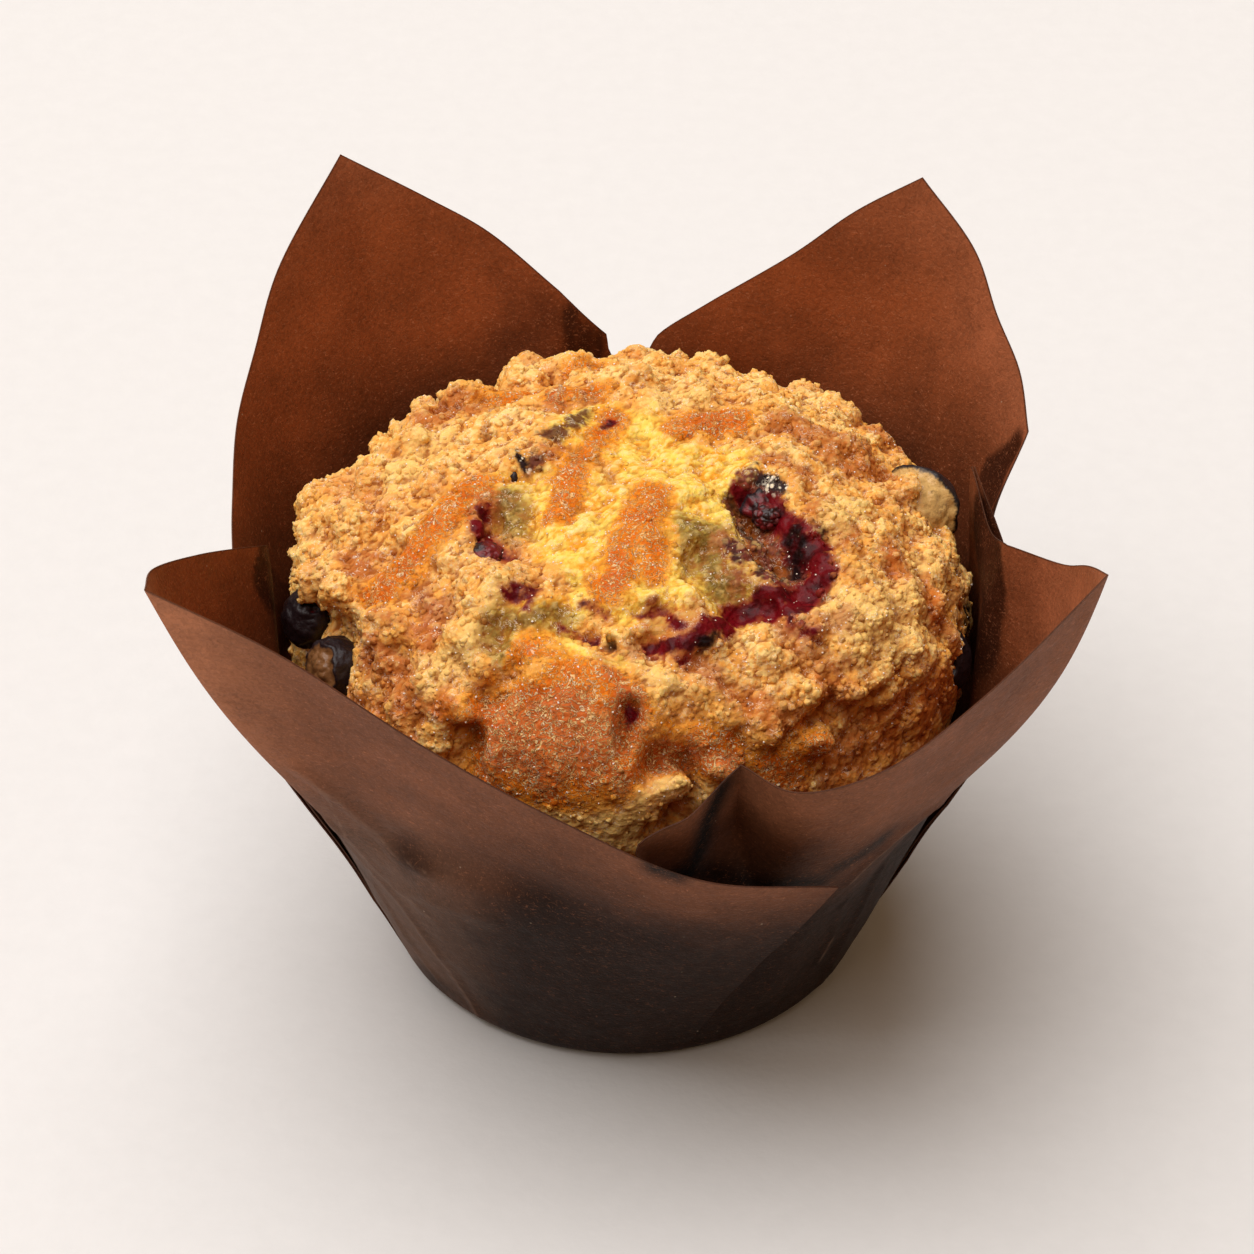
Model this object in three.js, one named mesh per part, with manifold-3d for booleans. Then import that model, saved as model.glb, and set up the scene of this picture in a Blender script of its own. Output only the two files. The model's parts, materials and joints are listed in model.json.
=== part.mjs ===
// A streusel berry muffin standing in its folded tulip paper case.
// Millimetres, +Z up, -Y towards the front. The origin is the centre of the base, on the table.
import * as THREE from 'three';
import { mergeVertices } from 'three/addons/utils/BufferGeometryUtils.js';
import { ImprovedNoise } from 'three/addons/math/ImprovedNoise.js';
import Module from 'manifold-3d';

const wasm = await Module();
wasm.setup();

const sliverSize = 0.05;        // edges shorter than this are cleaned away after the joins

// Driving dimensions of the paper case.
const footRadius = 24.6;        // the flat base disc, where it turns up into the wall
const cornerSwell = 1.1;        // how far the turned-up corner bellies out past the foot
const cornerHeight = 1.6;
const wallSlope = 0.39;         // the wall gains this much radius for each millimetre of height
const shoulderHeight = 31.5;    // above this height the cake holds the wall upright
const sheetThickness = 0.6;
const layerStep = 0.8;          // from one paper layer to the next where a pleat lies flat
const layerRise = 15;           // the layers are pressed into one below this height
const columnStep = 6.5;         // spacing of the sheet's columns along the rim
const sheetRows = [0, 0.04, 0.22, 0.44, 0.62, 0.8, 1];
const pleatSteps = 6;           // columns across a pleat's hidden layer
const discSides = 96;

// Driving dimensions of the cake.
const cakeGap = 0.35;           // clearance between touching pieces
const cakeFloor = sheetThickness + cakeGap;
const cakeRadius = 36.4;        // widest part of the muffin top, without its crumbs
const cakeTop = 61.4;
const cakeHeart = 30;           // the relief stands away from this height on the cake's axis
const crustRise = [34, 44];     // the paper leaves the cake smooth below, the crust is rough above
const coarseGrain = 9;          // wavelengths of the relief
const fineGrain = 4.6;
const roughRelief = 2.4;        // height of the fine relief on bare crumb
const smoothRelief = 0.6;       // and where sugar has melted over it
const cakeFacets = 12;          // subdivisions of the ball that the cake's skin is made from
const topShare = 0.62;          // share of the ball's half turn that goes to the muffin top
const sideShare = 0.8;          // the side ends here, and the rest is the floor
const crumbSeed = 41;
const crumbCount = 34;
const smallCrumb = 2.2;
const largeCrumb = 3.4;
const roundedCrumb = 5;         // crumbs above this size get more faces
const crumbUneven = 0.42;
const crumbSquash = 0.85;
const crumbSpacing = 0.62;      // of the two sizes that meet
const crumbSink = { top: 0.35, rim: 0.6, rimStart: 33 };
const berryUneven = 0.1;

const radians = THREE.MathUtils.degToRad;
const noise = new ImprovedNoise();

// Azimuth 0 is the front, 90 the right-hand side.
function polar(azimuth, radius, height) {
  const angle = radians(azimuth);
  return new THREE.Vector3(radius * Math.sin(angle), -radius * Math.cos(angle), height);
}

// ---- solids -------------------------------------------------------------

function solidFrom(geometry) {
  geometry.deleteAttribute('normal');
  geometry.deleteAttribute('uv');
  const merged = mergeVertices(geometry, 1e-4);
  return new wasm.Manifold(new wasm.Mesh({
    numProp: 3,
    vertProperties: new Float32Array(merged.attributes.position.array),
    triVerts: new Uint32Array(merged.index.array),
  }));
}

function geometryFrom(solid) {
  const mesh = solid.getMesh();
  const geometry = new THREE.BufferGeometry();
  geometry.setAttribute('position', new THREE.BufferAttribute(mesh.vertProperties, 3));
  geometry.setIndex(new THREE.BufferAttribute(mesh.triVerts, 1));
  geometry.computeVertexNormals();
  return geometry;
}

// The largest connected body: sealed hollows are filled and loose scraps dropped, and so are
// the slivers that the joins leave.
function mainBody(solid) {
  const bodies = solid.decompose();
  bodies.sort((a, b) => b.volume() - a.volume());
  return bodies[0].simplify(sliverSize);
}

function united(solids) {
  return solids.reduce((sum, solid) => sum.add(solid));
}

function seededRandom(seed) {
  let state = seed;
  return () => {
    state = (state * 1664525 + 1013904223) % 4294967296;
    return state / 4294967296;
  };
}

// ---- the paper case -----------------------------------------------------

// Radius of the middle of the innermost paper layer.
function wallRadius(height) {
  const corner = cornerSwell * Math.sqrt(Math.min(1, height / cornerHeight));
  return footRadius + corner + wallSlope * Math.min(height, shoulderHeight);
}

// Each quarter of the square sheet stands up as one petal. Its rim is a chain of smooth runs of
// [azimuth, radius, height] that meet at the corner of the sheet and at the soft folds.
// feet: where the petal's two creases leave the base; layers: how many layers lie inside each end;
// flare: how deep the petal bends in below and out above its middle height, and where along it.
const petals = {
  frontLeft: {
    feet: [-70, 13],
    layers: [0, 2],
    flare: { depth: 2.4, azimuth: -62, spread: 16 },
    rim: [
      [[-82, 38, 54], [-76, 42, 57], [-69, 47, 61], [-61, 54, 66], [-52, 59.5, 71]],
      [[-52, 59.5, 71], [-42, 51, 64], [-25, 46.5, 55.5], [-8, 46, 49], [9, 48, 43], [25, 50, 40.5]],
    ],
  },
  frontRight: {
    feet: [13, 80],
    layers: [0, 0],
    flare: { depth: 3.2, azimuth: 62, spread: 16 },
    rim: [
      [[1.5, 45.5, 46], [8, 44.5, 47.5], [12, 43, 49.5], [16, 41, 51.5]],
      [[16, 41, 51.5], [20.5, 47.5, 52], [29, 51.5, 55], [41, 54, 61.5], [54, 58, 71]],
      [[54, 58, 71], [63, 52, 64.5], [71.5, 47, 58.5], [79.5, 40.5, 55.5]],
      [[79.5, 40.5, 55.5], [91, 38.7, 52], [103, 38, 54.5]],
    ],
  },
  backRight: {
    feet: [80, 180],
    layers: [2, 2],
    rim: [
      [[63.5, 45, 42], [82, 41.5, 45], [99, 40, 48], [108.5, 46, 55]],
      [[108.5, 46, 55], [116.5, 48, 58.5], [123, 48.5, 62.5], [130.5, 50.5, 67], [140, 51, 72.5]],
      [[140, 51, 72.5], [147, 47, 68], [154, 43, 63], [167, 40, 56], [175, 39.5, 51.5], [200, 41, 46]],
    ],
  },
  backLeft: {
    feet: [-180, -70],
    layers: [0, 0.7],
    rim: [
      [[-200, 38.5, 47], [-176.5, 38, 52.5], [-169, 40, 57.5]],
      [[-169, 40, 57.5], [-160, 46, 63], [-153, 49, 67], [-143, 53, 73.5]],
      [[-143, 53, 73.5], [-129.5, 50, 65], [-121.5, 48, 59], [-112, 46, 54.5], [-101, 43.5, 50.5],
        [-92, 42.3, 49], [-60, 45.5, 43]],
    ],
  },
};

// The hidden middle layer of each knife pleat joins the end of one petal to the end of the next.
const pleats = [
  { foot: 13, from: [25, 50, 40.5], to: [1.5, 45.5, 46] },
  { foot: 80, from: [63.5, 45, 42], to: [103, 38, 54.5] },
  { foot: -70, from: [-60, 45.5, 43], to: [-82, 38, 54] },
  { foot: 180, from: [200, 41, 46], to: [160, 38.5, 47] },
];

function rimPoints(runs) {
  const points = [];
  for (const run of runs) {
    const curve = new THREE.CatmullRomCurve3(run.map((p) => polar(...p)), false, 'centripetal');
    const steps = Math.max(2, Math.round(curve.getLength() / columnStep));
    const spaced = curve.getSpacedPoints(steps);
    points.push(...(points.length ? spaced.slice(1) : spaced));
  }
  return points;
}

// A column of the sheet runs straight from the foot to the rim, except where the cake or the
// paper layers inside it push it out, or where the petal flares.
function sheetColumn(foot, rimPoint, layers, flareDepth) {
  return sheetRows.map((rise) => {
    const point = foot.clone().lerp(rimPoint, rise);
    const radius = Math.hypot(point.x, point.y) - flareDepth * Math.sin(2 * Math.PI * rise);
    const inner = wallRadius(point.z) + layers * layerStep * Math.min(1, point.z / layerRise);
    const scale = Math.max(radius, rise === 0 ? footRadius : inner) / Math.hypot(point.x, point.y);
    return new THREE.Vector3(point.x * scale, point.y * scale, point.z);
  });
}

// Thickens a grid of columns into a closed slab, half the sheet's thickness to either side.
function slab(columns) {
  const last = { column: columns.length - 1, row: sheetRows.length - 1 };
  const at = (column, row) => columns[THREE.MathUtils.clamp(column, 0, last.column)][
    THREE.MathUtils.clamp(row, 0, last.row)];
  const vertices = [];
  const index = [];
  const id = (column, row, side) => (column * (last.row + 1) + row) * 2 + side;
  for (let column = 0; column <= last.column; column += 1) {
    for (let row = 0; row <= last.row; row += 1) {
      const along = at(column + 1, row).clone().sub(at(column - 1, row));
      const up = at(column, row + 1).clone().sub(at(column, row - 1));
      const normal = along.cross(up);
      if (row === 0) {
        normal.z = 0;
      }
      normal.setLength(sheetThickness / 2);
      vertices.push(...at(column, row).clone().add(normal).toArray());
      vertices.push(...at(column, row).clone().sub(normal).toArray());
    }
  }
  const quad = (a, b, c, d) => index.push(a, b, c, a, c, d);
  for (let column = 0; column < last.column; column += 1) {
    for (let row = 0; row < last.row; row += 1) {
      quad(id(column, row, 0), id(column + 1, row, 0), id(column + 1, row + 1, 0), id(column, row + 1, 0));
      quad(id(column, row, 1), id(column, row + 1, 1), id(column + 1, row + 1, 1), id(column + 1, row, 1));
    }
    quad(id(column, 0, 0), id(column, 0, 1), id(column + 1, 0, 1), id(column + 1, 0, 0));
    quad(id(column, last.row, 0), id(column + 1, last.row, 0), id(column + 1, last.row, 1),
      id(column, last.row, 1));
  }
  for (let row = 0; row < last.row; row += 1) {
    quad(id(0, row, 0), id(0, row + 1, 0), id(0, row + 1, 1), id(0, row, 1));
    quad(id(last.column, row, 0), id(last.column, row, 1), id(last.column, row + 1, 1),
      id(last.column, row + 1, 0));
  }
  const geometry = new THREE.BufferGeometry();
  geometry.setAttribute('position', new THREE.Float32BufferAttribute(vertices, 3));
  geometry.setIndex(index);
  return solidFrom(geometry);
}

function petalSlab({ feet, layers, flare, rim }) {
  const points = rimPoints(rim);
  const columns = points.map((rimPoint, i) => {
    const along = i / (points.length - 1);
    const foot = polar(THREE.MathUtils.lerp(feet[0], feet[1], along), footRadius, 0);
    const azimuth = THREE.MathUtils.radToDeg(Math.atan2(rimPoint.x, -rimPoint.y));
    const bend = flare ? flare.depth * Math.exp(-(((azimuth - flare.azimuth) / flare.spread) ** 2)) : 0;
    return sheetColumn(foot, rimPoint, THREE.MathUtils.lerp(layers[0], layers[1], along), bend);
  });
  return slab(columns);
}

function pleatSlab({ foot, from, to }) {
  const columns = [];
  for (let i = 0; i <= pleatSteps; i += 1) {
    const rimPoint = polar(...from.map((value, k) => THREE.MathUtils.lerp(value, to[k], i / pleatSteps)));
    columns.push(sheetColumn(polar(foot, footRadius, 0), rimPoint, 1, 0));
  }
  return slab(columns);
}

function paperCase() {
  const discProfile = [[0, 0], [footRadius, 0], [footRadius, sheetThickness], [0, sheetThickness]];
  const disc = new THREE.LatheGeometry(discProfile.map((p) => new THREE.Vector2(...p)), discSides);
  disc.rotateX(Math.PI / 2);
  const sheets = Object.values(petals).map(petalSlab);
  return mainBody(united([solidFrom(disc), ...sheets, ...pleats.map(pleatSlab)]));
}

// ---- the cake -----------------------------------------------------------

// Keeps a point of the cake inside the paper, as the baked cake pressed against it.
function insidePaper(point) {
  const limit = wallRadius(point.z) - sheetThickness / 2 - cakeGap;
  const radius = Math.hypot(point.x, point.y);
  if (radius > limit) {
    point.x *= limit / radius;
    point.y *= limit / radius;
  }
  return point;
}

// Half outline of the cake: over the top, down the side and across the floor.
const splineThrough = (points) => new THREE.SplineCurve(points.map((p) => new THREE.Vector2(...p)));
const topOutline = splineThrough([
  [0, cakeTop], [7, cakeTop - 0.2], [15, 60.6], [23, 58.5], [29, 55.5], [33.2, 51.6], [35.6, 47],
  [cakeRadius, 42], [cakeRadius, 36.5],
]);
const sideOutline = splineThrough([[cakeRadius, 36.5], [35.2, 29], [30.4, 16.5], [24.4, 2.6]]);
const floorOutline = splineThrough([[24.4, 2.6], [23.4, cakeFloor], [14, cakeFloor], [0, cakeFloor]]);

// Where on the outline a point of the unit ball goes, by its angle from the top.
function outlinePoint(turn) {
  if (turn < topShare) {
    return topOutline.getPointAt(turn / topShare);
  }
  if (turn < sideShare) {
    return sideOutline.getPointAt((turn - topShare) / (sideShare - topShare));
  }
  const point = floorOutline.getPointAt((turn - sideShare) / (1 - sideShare));
  point.y = Math.max(point.y, cakeFloor);
  return point;
}

// Places on the cake's top, in plan: x, y and how far each reaches.
const smoothPlaces = [
  { x: 0, y: -12, reach: 13 },
  { x: 8, y: 4, reach: 6 },
  { x: -19, y: -12, reach: 5.5 },
  { x: -8, y: -33, reach: 8 },
];
const hollows = [
  { x: 13, y: -9, reach: 3.2, depth: 2.6 },
  { x: 16, y: -14, reach: 3.6, depth: 4 },
  { x: 17, y: -19.5, reach: 3.2, depth: 3 },
  { x: 11, y: -25, reach: 2.6, depth: 1.8 },
  { x: 6, y: -27, reach: 2.4, depth: 1.6 },
  { x: -14.5, y: -12.5, reach: 2.6, depth: 2.4 },
  { x: -12, y: -25.5, reach: 2.6, depth: 2 },
  { x: -1, y: -32, reach: 2.2, depth: 1.4 },
];
const swells = [
  { x: 1.5, y: -15, reach: 5, depth: -1.3 },
  { x: 8, y: 5, reach: 5, depth: -1 },
  { x: -8, y: -33, reach: 7, depth: -1.2 },
];

function nearness(place, x, y) {
  return Math.exp(-((x - place.x) ** 2 + (y - place.y) ** 2) / place.reach ** 2);
}

function cakeRelief(point) {
  const crusted = THREE.MathUtils.smoothstep(point.z, ...crustRise);
  const bare = Math.max(...smoothPlaces.map((place) => nearness(place, point.x, point.y)));
  const coarse = point.clone().divideScalar(coarseGrain);
  const fine = point.clone().divideScalar(fineGrain);
  const lumps = 0.25 - Math.abs(noise.noise(fine.x, fine.y, fine.z + coarseGrain));
  let relief = noise.noise(coarse.x, coarse.y, coarse.z);
  relief += THREE.MathUtils.lerp(roughRelief, smoothRelief, bare) * lumps;
  for (const place of [...hollows, ...swells]) {
    relief -= place.depth * nearness(place, point.x, point.y);
  }
  return crusted * relief;
}

function cakeBody() {
  const geometry = new THREE.IcosahedronGeometry(1, cakeFacets);
  const centre = new THREE.Vector3(0, 0, cakeHeart);
  const position = geometry.attributes.position;
  for (let i = 0; i < position.count; i += 1) {
    const ball = new THREE.Vector3().fromBufferAttribute(position, i);
    const outline = outlinePoint(Math.acos(THREE.MathUtils.clamp(ball.z, -1, 1)) / Math.PI);
    const angle = Math.atan2(ball.y, ball.x);
    const point = new THREE.Vector3(outline.x * Math.cos(angle), outline.x * Math.sin(angle), outline.y);
    const outward = point.clone().sub(centre).normalize();
    insidePaper(point.addScaledVector(outward, cakeRelief(point)));
    position.setXYZ(i, point.x, point.y, point.z);
  }
  return solidFrom(geometry);
}

// Height of the muffin top at a distance from its middle.
const outlineSamples = topOutline.getSpacedPoints(200);
function surfaceHeight(radius) {
  const outer = outlineSamples.find((p) => p.x >= radius) ?? outlineSamples[outlineSamples.length - 1];
  return outer.y;
}

function crumb(x, y, z, size, turn) {
  const geometry = new THREE.IcosahedronGeometry(1, size > roundedCrumb ? 2 : 1);
  const position = geometry.attributes.position;
  for (let i = 0; i < position.count; i += 1) {
    const point = new THREE.Vector3().fromBufferAttribute(position, i);
    const lump = 1 + crumbUneven * noise.noise(point.x * 1.6 + turn, point.y * 1.6, point.z * 1.6 + x);
    point.multiplyScalar(size * lump);
    point.z *= crumbSquash;
    insidePaper(point.add(new THREE.Vector3(x, y, z)));
    position.setXYZ(i, point.x, point.y, point.z);
  }
  return solidFrom(geometry);
}

// The lumps that stand out most: x, y, size.
const largeCrumbs = [
  [-15, -21, 3.8], [-17, -26, 4.6], [-22.5, -26.5, 3.8], [4, -30.5, 3], [7, -23, 2.6],
  [22, -20, 5.4], [26, -22.5, 4.6], [20, -26, 4.4], [18.5, -6, 4.2], [24, -10, 4.6],
  [1.5, -35, 3.2], [-5.5, 3, 3.4], [-10, -32, 2.6], [14, -31, 4], [27, -2, 4.2],
];

function streusel() {
  const random = seededRandom(crumbSeed);
  const placed = largeCrumbs.map(([x, y, size]) => ({ x, y, size }));
  for (let tries = 0; placed.length < crumbCount && tries < 6000; tries += 1) {
    const size = smallCrumb + (largeCrumb - smallCrumb) * random() ** 2;
    const radius = (cakeRadius - 0.8) * Math.sqrt(random());
    const angle = 2 * Math.PI * random();
    const x = radius * Math.cos(angle);
    const y = radius * Math.sin(angle);
    const bare = [...smoothPlaces, ...hollows].some((place) => nearness(place, x, y) > 0.35);
    const crowded = placed.some((other) => (
      Math.hypot(other.x - x, other.y - y) < crumbSpacing * (other.size + size)));
    if (!bare && !crowded) {
      placed.push({ x, y, size });
    }
  }
  return placed.map(({ x, y, size }) => {
    const radius = Math.hypot(x, y);
    const sink = radius > crumbSink.rimStart ? crumbSink.rim : crumbSink.top;
    return crumb(x, y, surfaceHeight(radius) - size * sink, size, 10 * random());
  });
}

// ---- the berries --------------------------------------------------------

const berries = {
  berry_crater: { x: 14.6, y: -6.6, z: 58.6, radius: 4, squash: 0.8 },
  berry_edge_right: { x: 31, y: 5, z: 51.5, radius: 4.9, squash: 0.95 },
  berry_side_left: { x: -34, y: -7.4, z: 46, radius: 3.6, squash: 1 },
  berry_side_front: { x: -30.5, y: -15.6, z: 45.6, radius: 4.2, squash: 0.9 },
  berry_side_right: { x: 33.6, y: -10.4, z: 42.6, radius: 4.2, squash: 1 },
  berry_top_left: { x: -10.6, y: -0.6, z: 59.8, radius: 3.4, squash: 0.8 },
  berry_burst_left: { x: -14.6, y: -12.8, z: 57.6, radius: 3.4, squash: 0.8 },
};

function berry({ x, y, z, radius, squash }, grow) {
  const geometry = new THREE.IcosahedronGeometry(1, 2);
  const position = geometry.attributes.position;
  for (let i = 0; i < position.count; i += 1) {
    const point = new THREE.Vector3().fromBufferAttribute(position, i);
    const wrinkle = 1 + berryUneven * noise.noise(point.x * 2 + x, point.y * 2 + y, point.z * 2);
    point.multiplyScalar(radius * wrinkle + grow);
    point.z *= squash;
    insidePaper(point.add(new THREE.Vector3(x, y, z)));
    position.setXYZ(i, point.x, point.y, point.z);
  }
  return solidFrom(geometry);
}

// ---- assembly -----------------------------------------------------------

const group = new THREE.Group();

function addPart(name, solid, color, roughness) {
  const material = new THREE.MeshStandardMaterial({ color, roughness, metalness: 0 });
  const mesh = new THREE.Mesh(geometryFrom(solid), material);
  mesh.name = name;
  group.add(mesh);
}

const sockets = Object.values(berries).map((spec) => berry(spec, cakeGap));
const muffin = united([cakeBody(), ...streusel()]).subtract(united(sockets));
addPart('paper_case', paperCase(), 0x54382c, 0.7);
addPart('muffin', mainBody(muffin), 0xd69a4e, 0.75);
for (const [name, spec] of Object.entries(berries)) {
  addPart(name, berry(spec, 0), 0x241626, 0.35);
}

export default group;
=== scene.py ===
import json
import math

import bmesh
import bpy
import numpy as np
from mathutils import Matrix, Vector
from mathutils.bvhtree import BVHTree

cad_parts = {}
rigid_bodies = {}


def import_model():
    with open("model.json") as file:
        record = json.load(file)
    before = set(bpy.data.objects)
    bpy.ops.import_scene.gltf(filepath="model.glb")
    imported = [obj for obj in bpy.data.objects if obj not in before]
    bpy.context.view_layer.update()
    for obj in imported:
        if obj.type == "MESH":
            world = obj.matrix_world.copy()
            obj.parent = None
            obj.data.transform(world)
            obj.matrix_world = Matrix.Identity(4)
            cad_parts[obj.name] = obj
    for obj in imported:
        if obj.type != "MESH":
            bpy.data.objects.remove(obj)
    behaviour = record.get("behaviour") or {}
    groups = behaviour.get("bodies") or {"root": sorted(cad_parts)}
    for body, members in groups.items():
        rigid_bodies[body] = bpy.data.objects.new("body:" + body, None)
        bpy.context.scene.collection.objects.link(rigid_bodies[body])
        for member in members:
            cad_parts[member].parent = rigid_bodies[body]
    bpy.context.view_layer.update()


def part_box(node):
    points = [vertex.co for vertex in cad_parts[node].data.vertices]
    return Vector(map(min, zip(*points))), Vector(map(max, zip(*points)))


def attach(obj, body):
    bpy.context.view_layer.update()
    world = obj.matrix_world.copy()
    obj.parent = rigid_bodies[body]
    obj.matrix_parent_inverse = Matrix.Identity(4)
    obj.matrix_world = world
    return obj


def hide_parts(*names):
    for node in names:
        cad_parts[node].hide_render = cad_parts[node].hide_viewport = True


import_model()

# A berry muffin with streusel in its tulip paper case.
# Everything is worked out in millimetres, +Z up, -Y to the front, and becomes metres in meshFrom.

mm = 0.001


def linear(red, green, blue):
    # screen colour, 0 to 255, as the shader's own linear colour
    parts = [c / 255 for c in (red, green, blue)]
    return tuple(c / 12.92 if c < 0.04045 else ((c + 0.055) / 1.055) ** 2.4 for c in parts) + (1.0,)


def smoothStep(value, low, high):
    t = np.clip((value - low) / (high - low), 0, 1)
    return t * t * (3 - 2 * t)


def smoothMax(a, b, blend):
    h = np.clip(0.5 + 0.5 * (a - b) / blend, 0, 1)
    return b + (a - b) * h + blend * h * (1 - h)


def unit(vector):
    return np.asarray(vector, float) / np.linalg.norm(vector)


# The fixed numbers of an integer hash; each round is a shift and a factor.
hashRule = {
    "axes": np.array([73856093, 19349663, 83492791], dtype=np.int64),
    "seed": 2654435761,
    "rounds": ((15, 2246822519), (13, 3266489917)),
    "lastShift": 16,
    "word": 0xFFFFFFFF,
    "result": 0xFFFFFF,
}


def cornerValue(cell, seed):
    # one fixed pseudo-random number from 0 to 1 for each whole-number cell
    mixed = np.bitwise_xor.reduce(cell * hashRule["axes"], axis=-1) ^ (seed * hashRule["seed"])
    for shift, factor in hashRule["rounds"]:
        mixed = ((mixed ^ (mixed >> shift)) * factor) & hashRule["word"]
    return ((mixed ^ (mixed >> hashRule["lastShift"])) & hashRule["result"]) / hashRule["result"]


def softNoise(points, size, seed):
    # smooth noise from -1 to 1, whose bumps are about size across
    place = np.asarray(points, float) / size
    cell = np.floor(place).astype(np.int64)
    part = place - cell
    part = part * part * part * (part * (part * 6 - 15) + 10)
    total = np.zeros(len(place))
    for corner in np.ndindex(2, 2, 2):
        weight = np.abs(1 - np.array(corner) - part).prod(1)
        total += weight * cornerValue(cell + np.array(corner), seed)
    return total * 2 - 1


def layeredNoise(points, size, seed, layers=3):
    total = np.zeros(len(points))
    for layer in range(layers):
        total += softNoise(points, size / 2 ** layer, seed + layer) / 2 ** layer
    return total


def curds(points, size, seed):
    # rounded bumps like curds, 1 on a crown and 0 in the creases between them
    place = np.asarray(points, float) / size
    cell = np.floor(place).astype(np.int64)
    first = np.full(len(place), 9.0)
    second = np.full(len(place), 9.0)
    for offset in np.ndindex(3, 3, 3):
        near = cell + np.array(offset) - 1
        centre = near + np.stack([cornerValue(near, seed + k) for k in range(3)], 1)
        gap = np.linalg.norm(place - centre, axis=1)
        second = np.minimum(second, np.maximum(first, gap))
        first = np.minimum(first, gap)
    flank = np.clip((second - first) / 0.55, 0, 1)
    return 1 - (1 - flank) ** 2


# The camera, and what it sees.
view = {
    "eye": np.array([0, -383.1, 322.8]),
    "pitch": 36.5,       # degrees below the horizon
    "lens": 126.3,
    "sensor": 36.0,
    "pixels": 1254,      # the square frame in which pixel places are given
    "reach": (380, 560, 0.05),    # nearest, furthest and step of the distances searched for the crust
}


def pixelRay(px, py):
    pitch = math.radians(view["pitch"])
    ahead = np.array([0, math.cos(pitch), -math.sin(pitch)])
    upward = np.array([0, math.sin(pitch), math.cos(pitch)])
    rightward = np.array([1.0, 0, 0])
    focal = view["lens"] / view["sensor"] * view["pixels"]
    half = view["pixels"] / 2
    return unit(ahead * focal + rightward * (px - half) - upward * (py - half))


def placeCamera():
    data = bpy.data.cameras.new("camera")
    data.lens = view["lens"]
    data.sensor_width = view["sensor"]
    data.clip_start = 0.01
    camera = bpy.data.objects.new("camera", data)
    camera.location = view["eye"] * mm
    camera.rotation_euler = (math.radians(90 - view["pitch"]), 0, 0)
    bpy.context.collection.objects.link(camera)
    bpy.context.scene.camera = camera


class Wire:
    # a node's output, on which arithmetic adds Math nodes
    def __init__(self, board, socket):
        self.board = board
        self.socket = socket

    def maths(self, operation, first, second):
        return self.board.add("ShaderNodeMath", {"operation": operation}, {0: first, 1: second})

    def __add__(self, other):
        return self.maths("ADD", self, other)

    def __radd__(self, other):
        return self.maths("ADD", other, self)

    def __sub__(self, other):
        return self.maths("SUBTRACT", self, other)

    def __rsub__(self, other):
        return self.maths("SUBTRACT", other, self)

    def __mul__(self, other):
        return self.maths("MULTIPLY", self, other)

    def __rmul__(self, other):
        return self.maths("MULTIPLY", other, self)

    def __pow__(self, other):
        return self.maths("POWER", self, other)

    def __abs__(self):
        return self.maths("ABSOLUTE", self, 0.0)


class Board:
    def __init__(self, tree):
        self.tree = tree

    def add(self, kind, settings=None, values=None, output=0):
        node = self.tree.nodes.new(kind)
        for key, value in (settings or {}).items():
            setattr(node, key, value)
        for key, value in (values or {}).items():
            if isinstance(value, Wire):
                self.tree.links.new(value.socket, node.inputs[key])
            else:
                node.inputs[key].default_value = value
        return Wire(self, node.outputs[output])


class Finish(Board):
    # a material, with the few kinds of pattern that the finishes share; look holds its colours by name
    def __init__(self, name, look, **constants):
        self.look = look
        self.base = None
        self.material = bpy.data.materials.new(name)
        self.material.use_nodes = True
        super().__init__(self.material.node_tree)
        self.tree.nodes.clear()
        end = self.tree.nodes.new("ShaderNodeOutputMaterial")
        self.shader = self.tree.nodes.new("ShaderNodeBsdfPrincipled")
        self.tree.links.new(self.shader.outputs[0], end.inputs[0])
        for key, value in constants.items():
            self.shader.inputs[key.replace("_", " ")].default_value = value
        self.place = self.add("ShaderNodeTexCoord", output="Object")

    def feed(self, socket, wire):
        self.tree.links.new(wire.socket, self.shader.inputs[socket])

    def noise(self, size, detail=2.0, distortion=0.0, place=None):
        # size is the width of a bump in millimetres
        return self.add("ShaderNodeTexNoise", None, {
            "Vector": place or self.place, "Scale": 1 / (size * mm), "Detail": detail,
            "Distortion": distortion})

    def cells(self, size):
        return self.add("ShaderNodeTexVoronoi", None, {
            "Vector": self.place, "Scale": 1 / (size * mm)}, "Distance")

    def stretch(self, scale, turn):
        return self.add("ShaderNodeMapping", None, {
            "Vector": self.place, "Scale": scale, "Rotation": turn})

    def height(self):
        return self.add("ShaderNodeSeparateXYZ", None, {0: self.place}, 2)

    def across(self):
        return self.add("ShaderNodeSeparateXYZ", None, {0: self.place}, 0)

    def band(self, value, low, high):
        return self.add("ShaderNodeMapRange", {"interpolation_type": "SMOOTHSTEP"}, {
            "Value": value, "From Min": low, "From Max": high})

    def blend(self, factor, first, second, way="MIX"):
        # first and second are wires, or names of colours in the look
        first, second = (linear(*self.look[c]) if isinstance(c, str) else c for c in (first, second))
        return self.add("ShaderNodeMix", {"data_type": "RGBA", "blend_type": way}, {
            0: factor, 6: first, 7: second}, 2)

    def paint(self, factor, colour):
        # one more coat over the base colour
        self.base = self.blend(factor, self.base, colour)

    def grey(self, value):
        return self.add("ShaderNodeCombineColor", None, {0: value, 1: value, 2: value})

    def mark(self, name):
        return self.add("ShaderNodeAttribute", {"attribute_name": name}, None, "Fac")

    def bump(self, height, distance, before=None):
        values = {"Height": height, "Distance": distance * mm}
        if before:
            values["Normal"] = before
        return self.add("ShaderNodeBump", None, values)


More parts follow.
